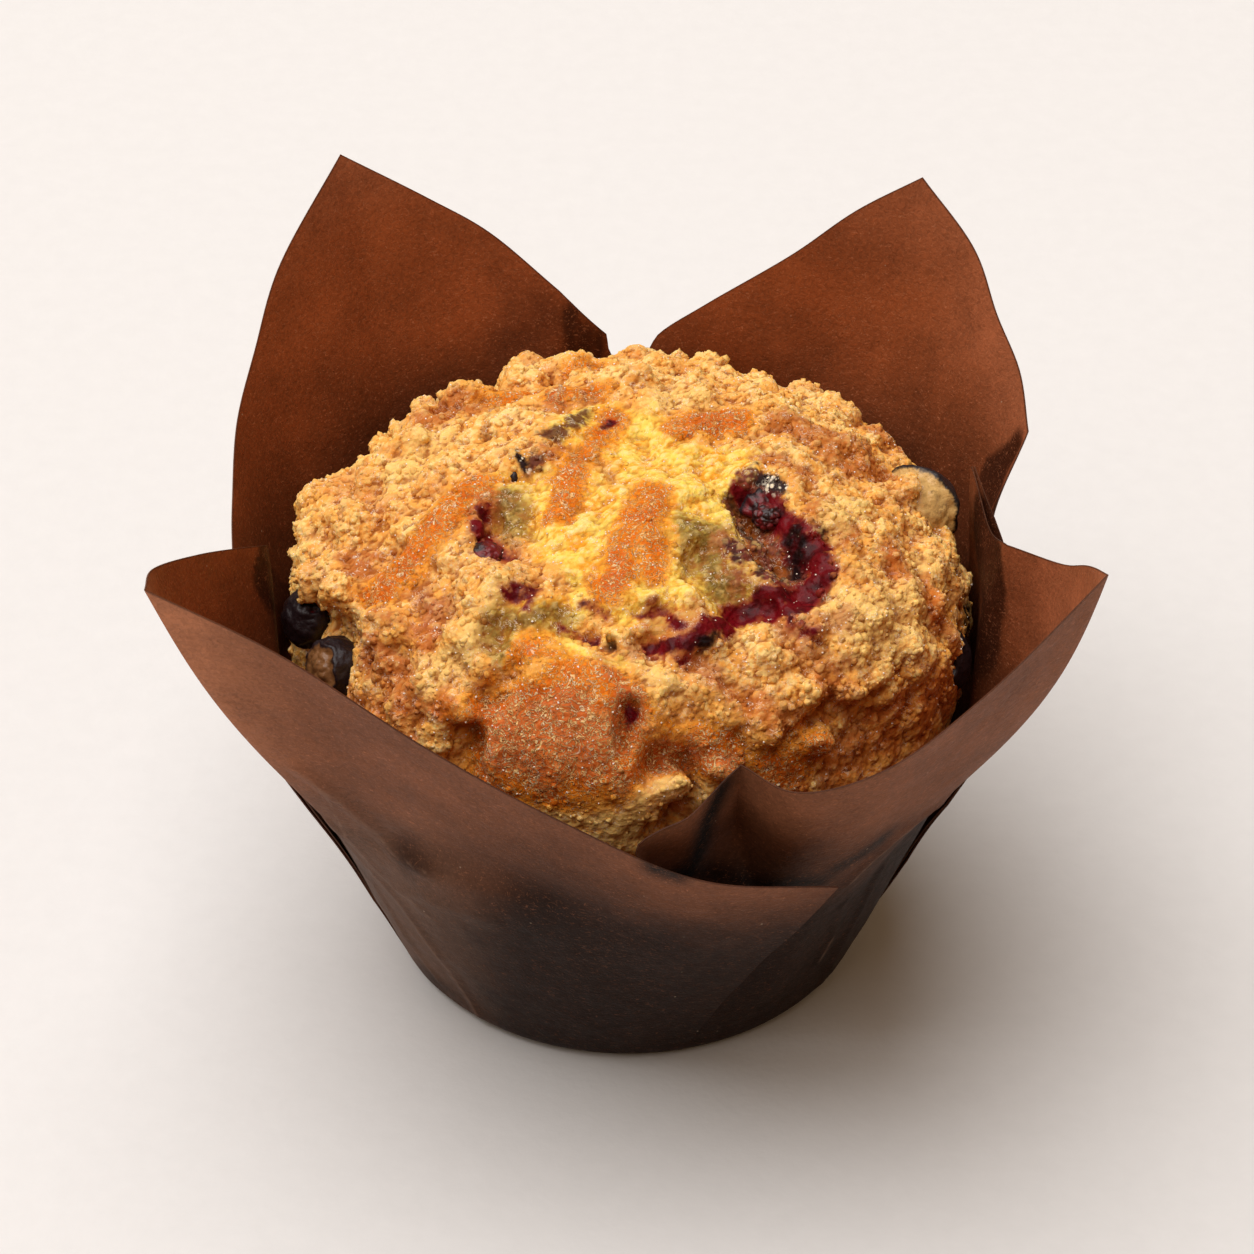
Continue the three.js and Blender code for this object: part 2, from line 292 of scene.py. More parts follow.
def meshFrom(name, vertices, faces, material=None, sharp=None):
    mesh = bpy.data.meshes.new(name)
    mesh.from_pydata((np.asarray(vertices) * mm).tolist(), [], [list(face) for face in faces])
    mesh.update()
    mesh.shade_smooth()
    if sharp:
        mesh.set_sharp_from_angle(angle=math.radians(sharp))
    if material:
        mesh.materials.append(material)
    piece = bpy.data.objects.new(name, mesh)
    bpy.context.collection.objects.link(piece)
    return piece


def pointsOf(mesh):
    flat = np.zeros(len(mesh.vertices) * 3)
    mesh.vertices.foreach_get("co", flat)
    return flat.reshape(-1, 3) / mm


def normalsOf(mesh):
    flat = np.zeros(len(mesh.vertices) * 3, dtype=np.float32)
    mesh.vertex_normals.foreach_get("vector", flat)
    return flat.reshape(-1, 3).astype(float)


def movePoints(mesh, points):
    mesh.vertices.foreach_set("co", (points * mm).ravel())
    mesh.update()


def markPoints(mesh, name, values):
    layer = mesh.attributes.get(name) or mesh.attributes.new(name, "FLOAT", "POINT")
    layer.data.foreach_set("value", np.asarray(values, dtype=np.float32))


def neighbourMean(mesh, values, rounds):
    # values averaged over each point's neighbours, a few times
    ends = np.zeros(len(mesh.edges) * 2, dtype=np.int64)
    mesh.edges.foreach_get("vertices", ends)
    first, second = ends.reshape(-1, 2).T
    count = np.bincount(ends, minlength=len(values)).astype(float)
    for _ in range(rounds):
        total = np.stack([
            np.bincount(first, values[second, k], len(values))
            + np.bincount(second, values[first, k], len(values)) for k in range(values.shape[1])], 1)
        values = 0.5 * values + 0.5 * total / np.maximum(count, 1)[:, None]
    return values


def bakeModifiers(piece):
    # the evaluated shape becomes the piece's own plain mesh
    evaluated = piece.evaluated_get(bpy.context.evaluated_depsgraph_get())
    mesh = bpy.data.meshes.new_from_object(evaluated)
    piece.modifiers.clear()
    old = piece.data
    piece.data = mesh
    mesh.name = piece.name
    bpy.data.meshes.remove(old)


def voxelFuse(piece, voxel, material):
    remesh = piece.modifiers.new("fuse", "REMESH")
    remesh.mode = "VOXEL"
    remesh.voxel_size = voxel * mm
    bakeModifiers(piece)
    piece.data.materials.clear()
    piece.data.materials.append(material)
    piece.data.shade_smooth()


def ballShape(subdivisions):
    ball = bmesh.new()
    bmesh.ops.create_icosphere(ball, subdivisions=subdivisions, radius=1)
    vertices = np.array([v.co for v in ball.verts])
    faces = np.array([[v.index for v in f.verts] for f in ball.faces])
    ball.free()
    return vertices, faces


def joinShapes(shapes):
    vertices, faces, offset = [], [], 0
    for points, sides in shapes:
        vertices.append(points)
        faces.extend([[corner + offset for corner in side] for side in np.asarray(sides, object)])
        offset += len(points)
    return np.concatenate(vertices), faces


def sightTree(piece):
    mesh = piece.data
    return BVHTree.FromPolygons([v.co[:] for v in mesh.vertices], [p.vertices[:] for p in mesh.polygons])


def seenPoints(tree, pixels, step=5):
    # points of a piece that show along a line of pixels
    path = [pixels[0]]
    for start, end in zip(pixels, pixels[1:]):
        count = max(1, round(math.dist(start, end) / step))
        path += [np.array(start) + (np.array(end) - start) * k / count for k in range(1, count + 1)]
    hits = [tree.ray_cast(Vector(view["eye"] * mm), Vector(pixelRay(*pixel)))[0] for pixel in path]
    return np.array([hit for hit in hits if hit]) / mm


def gapTo(points, spots, flatten=1.0):
    # each point's distance from the nearest of the spots
    nearest = np.full(len(points), 1e3)
    for spot in spots:
        offset = (points - spot) * np.array([1, 1, flatten])
        nearest = np.minimum(nearest, (offset * offset).sum(1) ** 0.5)
    return nearest


# The paper case: a square sheet pressed into a cup, four petals with a knife pleat between each two.
paper = {
    "footRadius": 24.6,
    "cornerSwell": 1.1,       # the turned-up corner bellies out past the foot
    "cornerHeight": 1.6,
    "wallSlope": 0.39,
    "shoulderHeight": 31.5,   # the cake holds the wall upright above this
    "thickness": 0.15,
    "layerStep": 0.45,
    "layerRise": 15,
    "clampBlend": 1.0,        # how softly a petal leaves the wall
    "columnStep": 0.95,
    "pleatColumns": 14,
    "rows": 74,
    "rowBias": 1.15,          # above 1 sets the rows closer near the foot
    "discSides": 96,
    "discThickness": 0.5,
    "freeHeight": 60,         # nothing holds the tips above this
}

# Dents in the wall. Each kind has a size, a seed and a share of the depth.
crumple = {
    "depth": 0.28,
    "layout": (14, 0.28),     # radius and height scale of the wall as it is laid out for its dents
    "lean": np.array([[1, 0.3, 0.5], [-0.3, 1, 0.4], [0, 0.2, 1]]),
    "folds": (5.0, 3, 0.9),
    "slants": (3.4, 12, 0.6),
    "swell": (17, 77, 0.7),
    "swellFlatten": (1, 1, 0.8),
    "start": (1.5, 8),        # heights over which folds and slants begin, and end
    "end": (26, 42),
    "foot": 0.5,              # below this the foot stays round
}


def wallRadius(height):
    # the radius at which the cake holds the innermost layer of paper
    corner = paper["cornerSwell"] * np.sqrt(np.clip(height / paper["cornerHeight"], 0, 1))
    return paper["footRadius"] + corner + paper["wallSlope"] * np.minimum(height, paper["shoulderHeight"])


# Rim runs are [azimuth, radius, height], smooth inside a run, with a fold or the sheet's corner between.
petals = {
    "frontLeft": {
        "feet": (-70, 13), "layers": (0, 2), "flare": (2.4, -62, 16),
        "rim": [
            [(-82, 38, 54), (-76, 42, 57), (-69, 47, 61), (-61, 54, 66), (-52, 59.5, 71)],
            [(-52, 59.5, 71), (-42, 51, 64), (-25, 46.5, 55.5), (-8, 46, 49), (9, 48, 43), (25, 50, 40.5)]]},
    "frontRight": {
        "feet": (13, 80), "layers": (0, 0), "flare": (3.2, 62, 16),
        "rim": [
            [(3, 45.2, 42.6), (1.2, 45.4, 44.4), (1.4, 45.2, 45.8), (4, 44.6, 47), (8, 43.6, 47.7),
             (10.5, 42.6, 48.8), (13.5, 41.6, 50.4), (16, 41, 51.5)],
            [(16, 41, 51.5), (20.5, 47.5, 52), (29, 51.5, 55), (41, 54, 61.5), (54, 58, 71)],
            [(54, 58, 71), (63, 52, 64.5), (71.5, 47, 58.5), (79.5, 40.5, 55.5)],
            [(79.5, 40.5, 55.5), (91, 38.7, 52), (103, 38, 54.5)]]},
    "backRight": {
        "feet": (80, 180), "layers": (2, 2), "flare": None,
        "rim": [
            [(63.5, 45, 42), (82, 41.5, 45), (99, 40, 48), (108.5, 46, 55)],
            [(108.5, 46, 55), (116.5, 48, 58.5), (123, 48.5, 62.5), (130.5, 50.5, 67), (140, 51, 72.5)],
            [(140, 51, 72.5), (147, 47, 68), (154, 43, 63), (167, 40, 56), (175, 39.5, 51.5),
             (176.5, 39.4, 49.6), (184, 40, 46)]]},
    "backLeft": {
        "feet": (-180, -70), "layers": (0, 0.8), "flare": None,
        "rim": [
            [(-190, 37.9, 45.5), (-177.6, 37.3, 49.5), (-176.5, 37.4, 52.5)],
            [(-176.5, 37.4, 52.5), (-169, 40, 57.5)],
            [(-169, 40, 57.5), (-160, 46, 63), (-153, 49, 67), (-143, 53, 73.5)],
            [(-143, 53, 73.5), (-129.5, 50, 65), (-121.5, 48, 59), (-112, 46, 54.5), (-101, 43.5, 50.5),
             (-92, 42.3, 49), (-60, 45.5, 43)]]},
}

# Hidden middle layer of each knife pleat, from one petal's end to the next one's.
pleats = {
    "front": {"foot": 13, "layer": 1, "ends": [(25, 47.4, 38), (3, 44, 41)]},
    "right": {"foot": 80, "layer": 1, "ends": [(63.5, 45, 42), (103, 38, 54.5)]},
    "left": {"foot": -70, "layer": 0.38, "ends": [(-60, 41.6, 36), (-82, 37.6, 41)]},
    "back": {"foot": 180, "layer": 1, "ends": [(184, 39, 44), (170, 37.4, 44.5)]},
}

# Creases and dents pressed into the finished case: pixels, how far it stands out, half width.
creases = {
    "flareEdge": ([(297, 768), (338, 797), (372, 828), (392, 855), (425, 873)], 0.55, 1.5),
    "layerEdge": ([(323, 787), (348, 838), (382, 876), (415, 903), (438, 924)], 0.2, 1.2),
    "longCrease": ([(331, 823), (365, 863), (398, 899), (440, 958), (478, 1014)], 0.4, 1.2),
    "outerCrease": ([(362, 870), (377, 888), (409, 941), (440, 981)], 0.3, 1.0),
    "slackFold": ([(398, 888), (451, 909), (490, 922)], 0.3, 1.6),
    "hollowLeft": ([(396, 848), (430, 856)], -0.7, 3.2),
    "hollowMiddle": ([(476, 872), (540, 900)], -0.7, 4.0),
    "hollowFront": ([(560, 905), (640, 930)], -0.35, 4.5),
    "hollowLow": ([(455, 975), (470, 1000)], -0.3, 2.6),
    "rightFlare": ([(846, 884), (868, 862), (905, 830), (940, 803)], 0.5, 1.5),
    "rightCrease": ([(842, 905), (832, 936), (817, 962)], 0.35, 1.1),
    "rightEdge": ([(881, 868), (853, 922), (822, 980)], 0.4, 1.3),
}
# Those that carry a painted highlight along their ridge.
highlitCreases = ("flareEdge", "layerEdge", "longCrease", "rightFlare", "rightCrease")


def polar(azimuth, radius, height):
    # azimuth 0 is the front and 90 the right-hand side
    angle = np.radians(azimuth)
    return np.stack(np.broadcast_arrays(radius * np.sin(angle), -radius * np.cos(angle), height), -1)


def planRadius(points):
    return np.hypot(points[..., 0], points[..., 1])


def azimuthOf(points):
    return np.degrees(np.arctan2(points[..., 0], -points[..., 1]))


def moveToRadius(points, radius):
    points[..., :2] *= (radius / planRadius(points))[..., None]


def lengthAlong(path):
    return np.concatenate([[0], np.cumsum(np.linalg.norm(np.diff(path, axis=0), axis=1))])


def pointsAt(path, spots):
    # points at these lengths along a path
    length = lengthAlong(path)
    return np.stack([np.interp(spots, length, column) for column in path.T], 1)


def smoothRun(corners, step, samples=24):
    # evenly spaced points on a centripetal Catmull-Rom curve through the corners
    knots = np.array(corners, float)
    knots = np.concatenate([[2 * knots[0] - knots[1]], knots, [2 * knots[-1] - knots[-2]]])
    fine = []
    for a, b, c, d in zip(knots, knots[1:], knots[2:], knots[3:]):
        t1 = np.linalg.norm(b - a) ** 0.5
        t2 = t1 + np.linalg.norm(c - b) ** 0.5
        t3 = t2 + np.linalg.norm(d - c) ** 0.5
        t = np.linspace(t1, t2, samples, endpoint=False)[:, None]

        def between(p, q, start, end):
            return p * (end - t) / (end - start) + q * (t - start) / (end - start)

        bc = between(b, c, t1, t2)
        abc = between(between(a, b, 0, t1), bc, 0, t2)
        bcd = between(bc, between(c, d, t2, t3), t1, t3)
        fine.append(between(abc, bcd, t1, t2))
    fine = np.concatenate(fine + [knots[-2:-1]])
    total = lengthAlong(fine)[-1]
    return pointsAt(fine, np.linspace(0, total, max(3, round(total / step) + 1)))


def profile(corners, step):
    # a smooth outline through (radius, height) corners
    return smoothRun([(radius, height, 0) for radius, height in corners], step)[:, :2]


def rimOf(runs):
    curves = [smoothRun(polar(*np.array(run, float).T), paper["columnStep"]) for run in runs]
    return np.concatenate([curves[0]] + [curve[1:] for curve in curves[1:]])


def sheetGrid(feet, rim, layers, flare):
    # columns of the sheet, straight from foot to rim but pushed out by the wall behind it
    rise = np.linspace(0, 1, paper["rows"]) ** paper["rowBias"]
    foot = polar(feet, paper["footRadius"], 0)
    grid = foot[:, None, :] + (rim - foot)[:, None, :] * rise[None, :, None]
    free = planRadius(grid)
    if flare:
        depth, azimuth, spread = flare
        bend = depth * np.exp(-((azimuthOf(rim) - azimuth) / spread) ** 2)
        free = free - bend[:, None] * np.sin(2 * np.pi * rise)[None, :]
    height = grid[..., 2]
    stack = layers[:, None] * paper["layerStep"] * np.clip(height / paper["layerRise"], 0, 1)
    held = smoothMax(free, wallRadius(height) + stack, paper["clampBlend"])
    held = np.where(height > paper["freeHeight"], free, held)
    held[:, 0] = paper["footRadius"]
    moveToRadius(grid, held)
    return grid


def ridges(place, size, seed, share):
    return share * (1 - 2 * np.abs(softNoise(place, size, seed)))


def crumpled(grid):
    # dents and soft creases that run up the wall, the same for every layer that lies there
    flat = grid.reshape(-1, 3)
    height = flat[:, 2]
    layoutRadius, layoutScale = crumple["layout"]
    around = polar(azimuthOf(flat), layoutRadius, height * layoutScale)
    creased = ridges(around, *crumple["folds"]) + ridges(around @ crumple["lean"], *crumple["slants"])
    size, seed, share = crumple["swell"]
    swell = softNoise(flat * np.array(crumple["swellFlatten"]), size, seed)
    low = smoothStep(height, *crumple["start"]) * (1 - smoothStep(height, *crumple["end"]))
    depth = crumple["depth"] * (low * creased + share * swell)
    moveToRadius(flat, planRadius(flat) + np.where(height > crumple["foot"], depth, 0))
    return flat.reshape(grid.shape)


def slab(grid):
    # a closed thin sheet from a grid of points: its shape, then each point's side and 1 on the rim
    along = np.gradient(grid, axis=0)
    up = np.gradient(grid, axis=1)
    normal = np.cross(along, up)
    normal[:, 0, 2] = 0
    normal /= np.maximum(np.linalg.norm(normal, axis=-1, keepdims=True), 1e-9)
    half = paper["thickness"] / 2
    points = np.concatenate([(grid + half * normal).reshape(-1, 3), (grid - half * normal).reshape(-1, 3)])
    columns, rows = grid.shape[:2]
    index = np.arange(columns * rows).reshape(columns, rows)
    inner = index + columns * rows

    def quads(a, b, c, d):
        return np.stack([a.ravel(), b.ravel(), c.ravel(), d.ravel()], 1)

    faces = [
        quads(index[:-1, :-1], index[1:, :-1], index[1:, 1:], index[:-1, 1:]),
        quads(inner[:-1, :-1], inner[:-1, 1:], inner[1:, 1:], inner[1:, :-1]),
        quads(index[:-1, 0], inner[:-1, 0], inner[1:, 0], index[1:, 0]),
        quads(index[:-1, -1], index[1:, -1], inner[1:, -1], inner[:-1, -1]),
        quads(index[0, :-1], index[0, 1:], inner[0, 1:], inner[0, :-1]),
        quads(index[-1, :-1], inner[-1, :-1], inner[-1, 1:], index[-1, 1:])]
    side = np.repeat([0.0, 1.0], columns * rows)
    edge = np.zeros((columns, rows))
    edge[:, -1] = 1
    return points, np.concatenate(faces), side, np.tile(edge.ravel(), 2)


def footDisc():
    sides = paper["discSides"]
    ring = np.linspace(0, 2 * np.pi, sides, endpoint=False)
    foot = paper["footRadius"]
    points = np.concatenate([
        np.stack([foot * np.cos(ring), foot * np.sin(ring), np.full(sides, z)], 1)
        for z in (0.0, paper["discThickness"])])
    low = np.arange(sides)
    after = (low + 1) % sides
    faces = np.stack([low, after, after + sides, low + sides], 1).tolist()
    plain = np.zeros(len(points))
    return points, faces + [low[::-1].tolist(), (low + sides).tolist()], plain, plain


def pressCreases(piece):
    # each crease is pressed in where it shows, through whatever layers lie there
    tree = sightTree(piece)
    points = pointsOf(piece.data)
    highlightLine = np.zeros(len(points))
    shift = np.zeros(len(points))
    for name, (pixels, rise, width) in creases.items():
        gap = gapTo(points, seenPoints(tree, pixels, 3))
        if rise > 0:
            shift += rise * np.clip(1 - gap / width, 0, 1)
        else:
            shift += rise * np.exp(-(gap / width) ** 2)
        if name in highlitCreases:
            highlightLine = np.maximum(highlightLine, np.clip(1 - gap, 0, 1))
    moveToRadius(points, planRadius(points) + shift)
    movePoints(piece.data, points)
    markPoints(piece.data, "crease", highlightLine)
    # marks for the painted shade
    for name, mark in paintedPaperShade.items():
        edge = (mark["wobble"], mark["seed"], mark["soft"])
        markPoints(piece.data, name, painted(tree, points, mark["strokes"], *edge))


def closedSheet(feet, rim, layers, flare):
    # feet and layers are each given for the first and the last column
    share = np.linspace(0, 1, len(rim))
    feet, layers = (np.interp(share, [0, 1], ends) for ends in (feet, layers))
    return slab(crumpled(sheetGrid(feet, rim, layers, flare)))


def buildCase(material):
    sheets = []
    for petal in petals.values():
        sheets.append(closedSheet(petal["feet"], rimOf(petal["rim"]), petal["layers"], petal["flare"]))
    for pleat in pleats.values():
        share = np.linspace(0, 1, paper["pleatColumns"])
        rim = polar(*[np.interp(share, [0, 1], ends) for ends in zip(*pleat["ends"])])
        sheets.append(closedSheet([pleat["foot"]] * 2, rim, [pleat["layer"]] * 2, None))
    sheets.append(footDisc())
    piece = meshFrom("tulip_case", *joinShapes([sheet[:2] for sheet in sheets]), material, sharp=50)
    for name, part in (("inner", 2), ("edge", 3)):
        markPoints(piece.data, name, np.concatenate([sheet[part] for sheet in sheets]))
    pressCreases(piece)
    return piece


# Painted shade on the paper, where it is darkest: beside the cake, on the back petals' inner side
# and in deep folds, as strokes of pixels with half widths.
paintedPaperShade = {
    "fat": {
        "wobble": 0.5, "seed": 51, "soft": 0.9,
        "strokes": [
            ([(1014, 446), (990, 472), (996, 515)], 1.6), ([(980, 520), (992, 580), (985, 640)], 2.6),
            ([(268, 575), (284, 612), (300, 640)], 2.4), ([(572, 316), (572, 352)], 0.9),
            ([(585, 334), (585, 354)], 1.0), ([(598, 342), (598, 354)], 0.9)]},
    "dim": {
        "wobble": 0.8, "seed": 61, "soft": 3.5,
        "strokes": [([(505, 345), (545, 322), (580, 330)], 1.4)]},
    "fold": {
        "wobble": 0.0, "seed": 0, "soft": 1.4,
        "strokes": [
            ([(722, 790), (708, 820), (700, 850), (690, 875)], 1.5),
            ([(690, 868), (760, 885), (820, 882)], 0.9), ([(655, 868), (690, 876)], 1.3),
            ([(838, 868), (860, 856), (884, 838)], 1.0)]},
}

# The two numbers of a band are where it begins and is full, in metres up, or across from the middle.
paperLook = {
    "outer": (122, 75, 50),
    "soaked": (34, 19, 12),          # below the petals, where the cake lies against the wall: partly fat soaked into the paper, partly painted shade
    "soakedAndShadedBand": (0.050, 0.025),
    "uneven": 0.018,                 # how far patches shift the bands up and down
    "sheenHighlight": (104, 76, 60),          # painted sheen on the left wall, which faces the light
    "sheenBand": (-0.01, -0.024),
    "sheenFull": (-0.022, -0.03),
    "tipHighlight": (175, 113, 79),           # painted highlight on the far left, which faces the light
    "tipHighlightBand": (-0.03, -0.044),
    "tipRightHighlight": 0.25,                # how much of that painted highlight the far right has
    "tipRightHighlightBand": (0.04, 0.049),
    "inner": (140, 73, 38),
    # painted shade on the inner side, low down by the cake
    "innerShade": (62, 28, 12),
    "innerShadeBand": (0.061, 0.038),
    "innerHighlight": (184, 120, 88),      # painted highlight on the inner side where it stands free of the cake
    "innerHighlightBand": (0.061, 0.078),
    "innerRightBand": (0.03, 0.046),
    "innerRightHeight": (0.045, 0.06),
    "fold": (10, 6, 4),
    "cut": (52, 30, 20),
    "fibre": (176, 112, 78),
    "speck": (200, 176, 150),
    "crease": (140, 108, 88),
}


def paperFinish():
    f = Finish("brown baking paper", paperLook, Specular_IOR_Level=0.12)
    mottle = f.noise(6, 4)
    patches = f.noise(14, 2)
    grain = f.noise(0.45, 3, 0.8)
    streaks = f.noise(0.5, 2, 1.2, f.stretch((1, 1, 3.2), (0.5, 0.3, 0.4)))
    crossed = f.noise(0.5, 2, 1.2, f.stretch((1, 2.8, 1), (0.2, 0.6, 0.9)))
    height = f.height() + paperLook["uneven"] * (patches - 0.5)

    def across(name):
        return f.band(f.across(), *paperLook[name])

    def up(name):
        return f.band(height, *paperLook[name])

    # painted shade, partly fat: the outer wall darkens towards the foot
    soaked = up("soakedAndShadedBand")
    # painted sheen where the left wall faces the light
    paintedSheen = across("sheenBand") * 0.8 * f.band(patches + 0.5 * across("sheenFull"), 0.3, 0.55)
    # painted highlight on the outer tips
    tipHighlights = across("tipHighlightBand") * 0.85 + across("tipRightHighlightBand") * paperLook["tipRightHighlight"]
    outer = f.blend(soaked, f.blend(tipHighlights, "outer", "tipHighlight"), f.blend(paintedSheen, "soaked", "sheenHighlight"))
    # painted shade low on the inner side, where the cake stands close
    f.base = f.blend(up("innerShadeBand") * 0.85, "inner", "innerShade")
    # painted highlight on the far right and high up on the inner side
    f.paint(across("innerRightBand") * 0.36 * up("innerRightHeight"), "innerHighlight")
    f.paint(up("innerHighlightBand") * 0.22, "innerHighlight")
    # painted shade from the marks, on the inner side
    f.paint(f.mark("dim") * 0.65, "innerShade")
    f.paint(f.band(f.mark("fat") + 0.8 * (mottle - 0.5), 0.15, 0.85), "innerShade")
    f.base = f.blend(f.mark("inner"), outer, f.base)
    # painted shade in deep folds
    f.paint(f.mark("fold"), "fold")
    threads = f.band(streaks, 0.6, 0.72) + f.band(crossed, 0.62, 0.74)
    f.paint(threads * (0.5 - 0.3 * soaked), "fibre")
    f.base = f.blend(1.0, f.base, f.grey(0.15 + 0.8 * mottle + 0.9 * grain), "MULTIPLY")
    specks = 1 - f.band(f.cells(2.6), 0.025, 0.06)
    f.paint(specks * f.band(f.noise(5), 0.5, 0.62) * 0.6, "speck")
    # painted highlight along the crease ridges
    f.paint(f.band(f.mark("crease"), 0.6, 0.95) * 0.4, "crease")
    f.paint(f.band(f.mark("edge"), 0.75, 1.0) * 0.7, "cut")
    f.feed("Base Color", f.base)
    f.feed("Roughness", 0.48 + 0.25 * f.noise(1.4))
    f.feed("Normal", f.bump(f.noise(2.4, 3), 0.14, f.bump(grain, 0.09)))
    return f.material


# The cake: a smooth dome, then clumps, then granules, fused twice into one skin.
cake = {
    "gap": 0.35,              # left free between the cake and the case's solid
    "wallHalf": 0.3,          # how far that solid reaches inside wallRadius
    "radius": 36.4,
    "top": [(0, 61.4), (7, 61.2), (15, 60.6), (23, 58.5), (29, 55.5), (33.2, 51.6), (35.6, 47), (36.4, 42),
            (36.4, 36.5)],
    "sideTop": [(35.9, 35.8), (35.7, 32)],
    "sideFoot": [(35.2, 29), (30.4, 16.5), (24.6, 2.6)],
    "sideSectors": 120,
    "floor": (23.4, 1.0),
    "core": 30.0,             # the crust swells away from this height on the axis
    "seamHeight": 34.0,       # the fine top joins the plain hidden side here
    "swellsFrom": (34, 44),   # heights over which each of these comes in, up to looseFrom
    "strokesFrom": (38, 42),
    "granulesFrom": (34, 37),
    "reliefFrom": (33, 37),
    "looseFrom": (40, 44),
    "lowBelow": (41, 52),     # heights over which the low part of the crust ends
    "firstRing": 0.3,         # out from the axis
    "rings": 130,
    "sectors": 260,
    "lumpVoxel": 0.6,
    "voxel": 0.39,
}


def domeHeight(radius):
    outline = profile(cake["top"], 0.2)
    order = np.argsort(outline[:, 0])
    return np.interp(radius, outline[order, 0], outline[order, 1], right=-1.0)


domeTable = np.linspace(0, cake["radius"], 400)
domeTableHeight = domeHeight(domeTable)


def onDome(px, py):
    # the point of the smooth muffin top that shows at a pixel
    path = view["eye"] + np.arange(*view["reach"])[:, None] * pixelRay(px, py)
    height = np.interp(planRadius(path), domeTable, domeTableHeight, right=-1.0)
    return path[np.argmax(path[:, 2] < height)]


def strokeDistance(points, pixels):
    # plan distance from a line drawn over the dome through pixels
    spots = np.array([onDome(*pixel)[:2] for pixel in pixels])
    flat = points[:, :2]
    if len(spots) == 1:
        return np.linalg.norm(flat - spots[0], axis=1)
    nearest = np.full(len(flat), 1e9)
    for a, b in zip(spots, spots[1:]):
        along = np.clip((flat - a) @ (b - a) / ((b - a) @ (b - a)), 0, 1)
        nearest = np.minimum(nearest, np.linalg.norm(flat - a - along[:, None] * (b - a), axis=1))
    return nearest


def strokes(points, marks, wobble, seed, soft):
    # 1 inside the strokes, 0 outside, with an uneven edge; a stroke is (pixels, half width)
    uneven = wobble * layeredNoise(points, 3.2, seed)
    total = np.zeros(len(points))
    for pixels, width in marks:
        edge = strokeDistance(points, pixels) - width + uneven
        total = np.maximum(total, 1 - smoothStep(edge, -soft, soft))
    return total * smoothStep(points[:, 2], *cake["strokesFrom"])


def painted(tree, points, marks, wobble, seed, soft):
    # the same on the finished skin, where the pixels show it
    uneven = wobble * layeredNoise(points, 2.6, seed) if wobble else 0.0
    total = np.zeros(len(points))
    for pixels, width in marks:
        gap = gapTo(points, seenPoints(tree, pixels), 0.6)
        total = np.maximum(total, 1 - smoothStep(gap - width + uneven, -soft, soft))
    return total
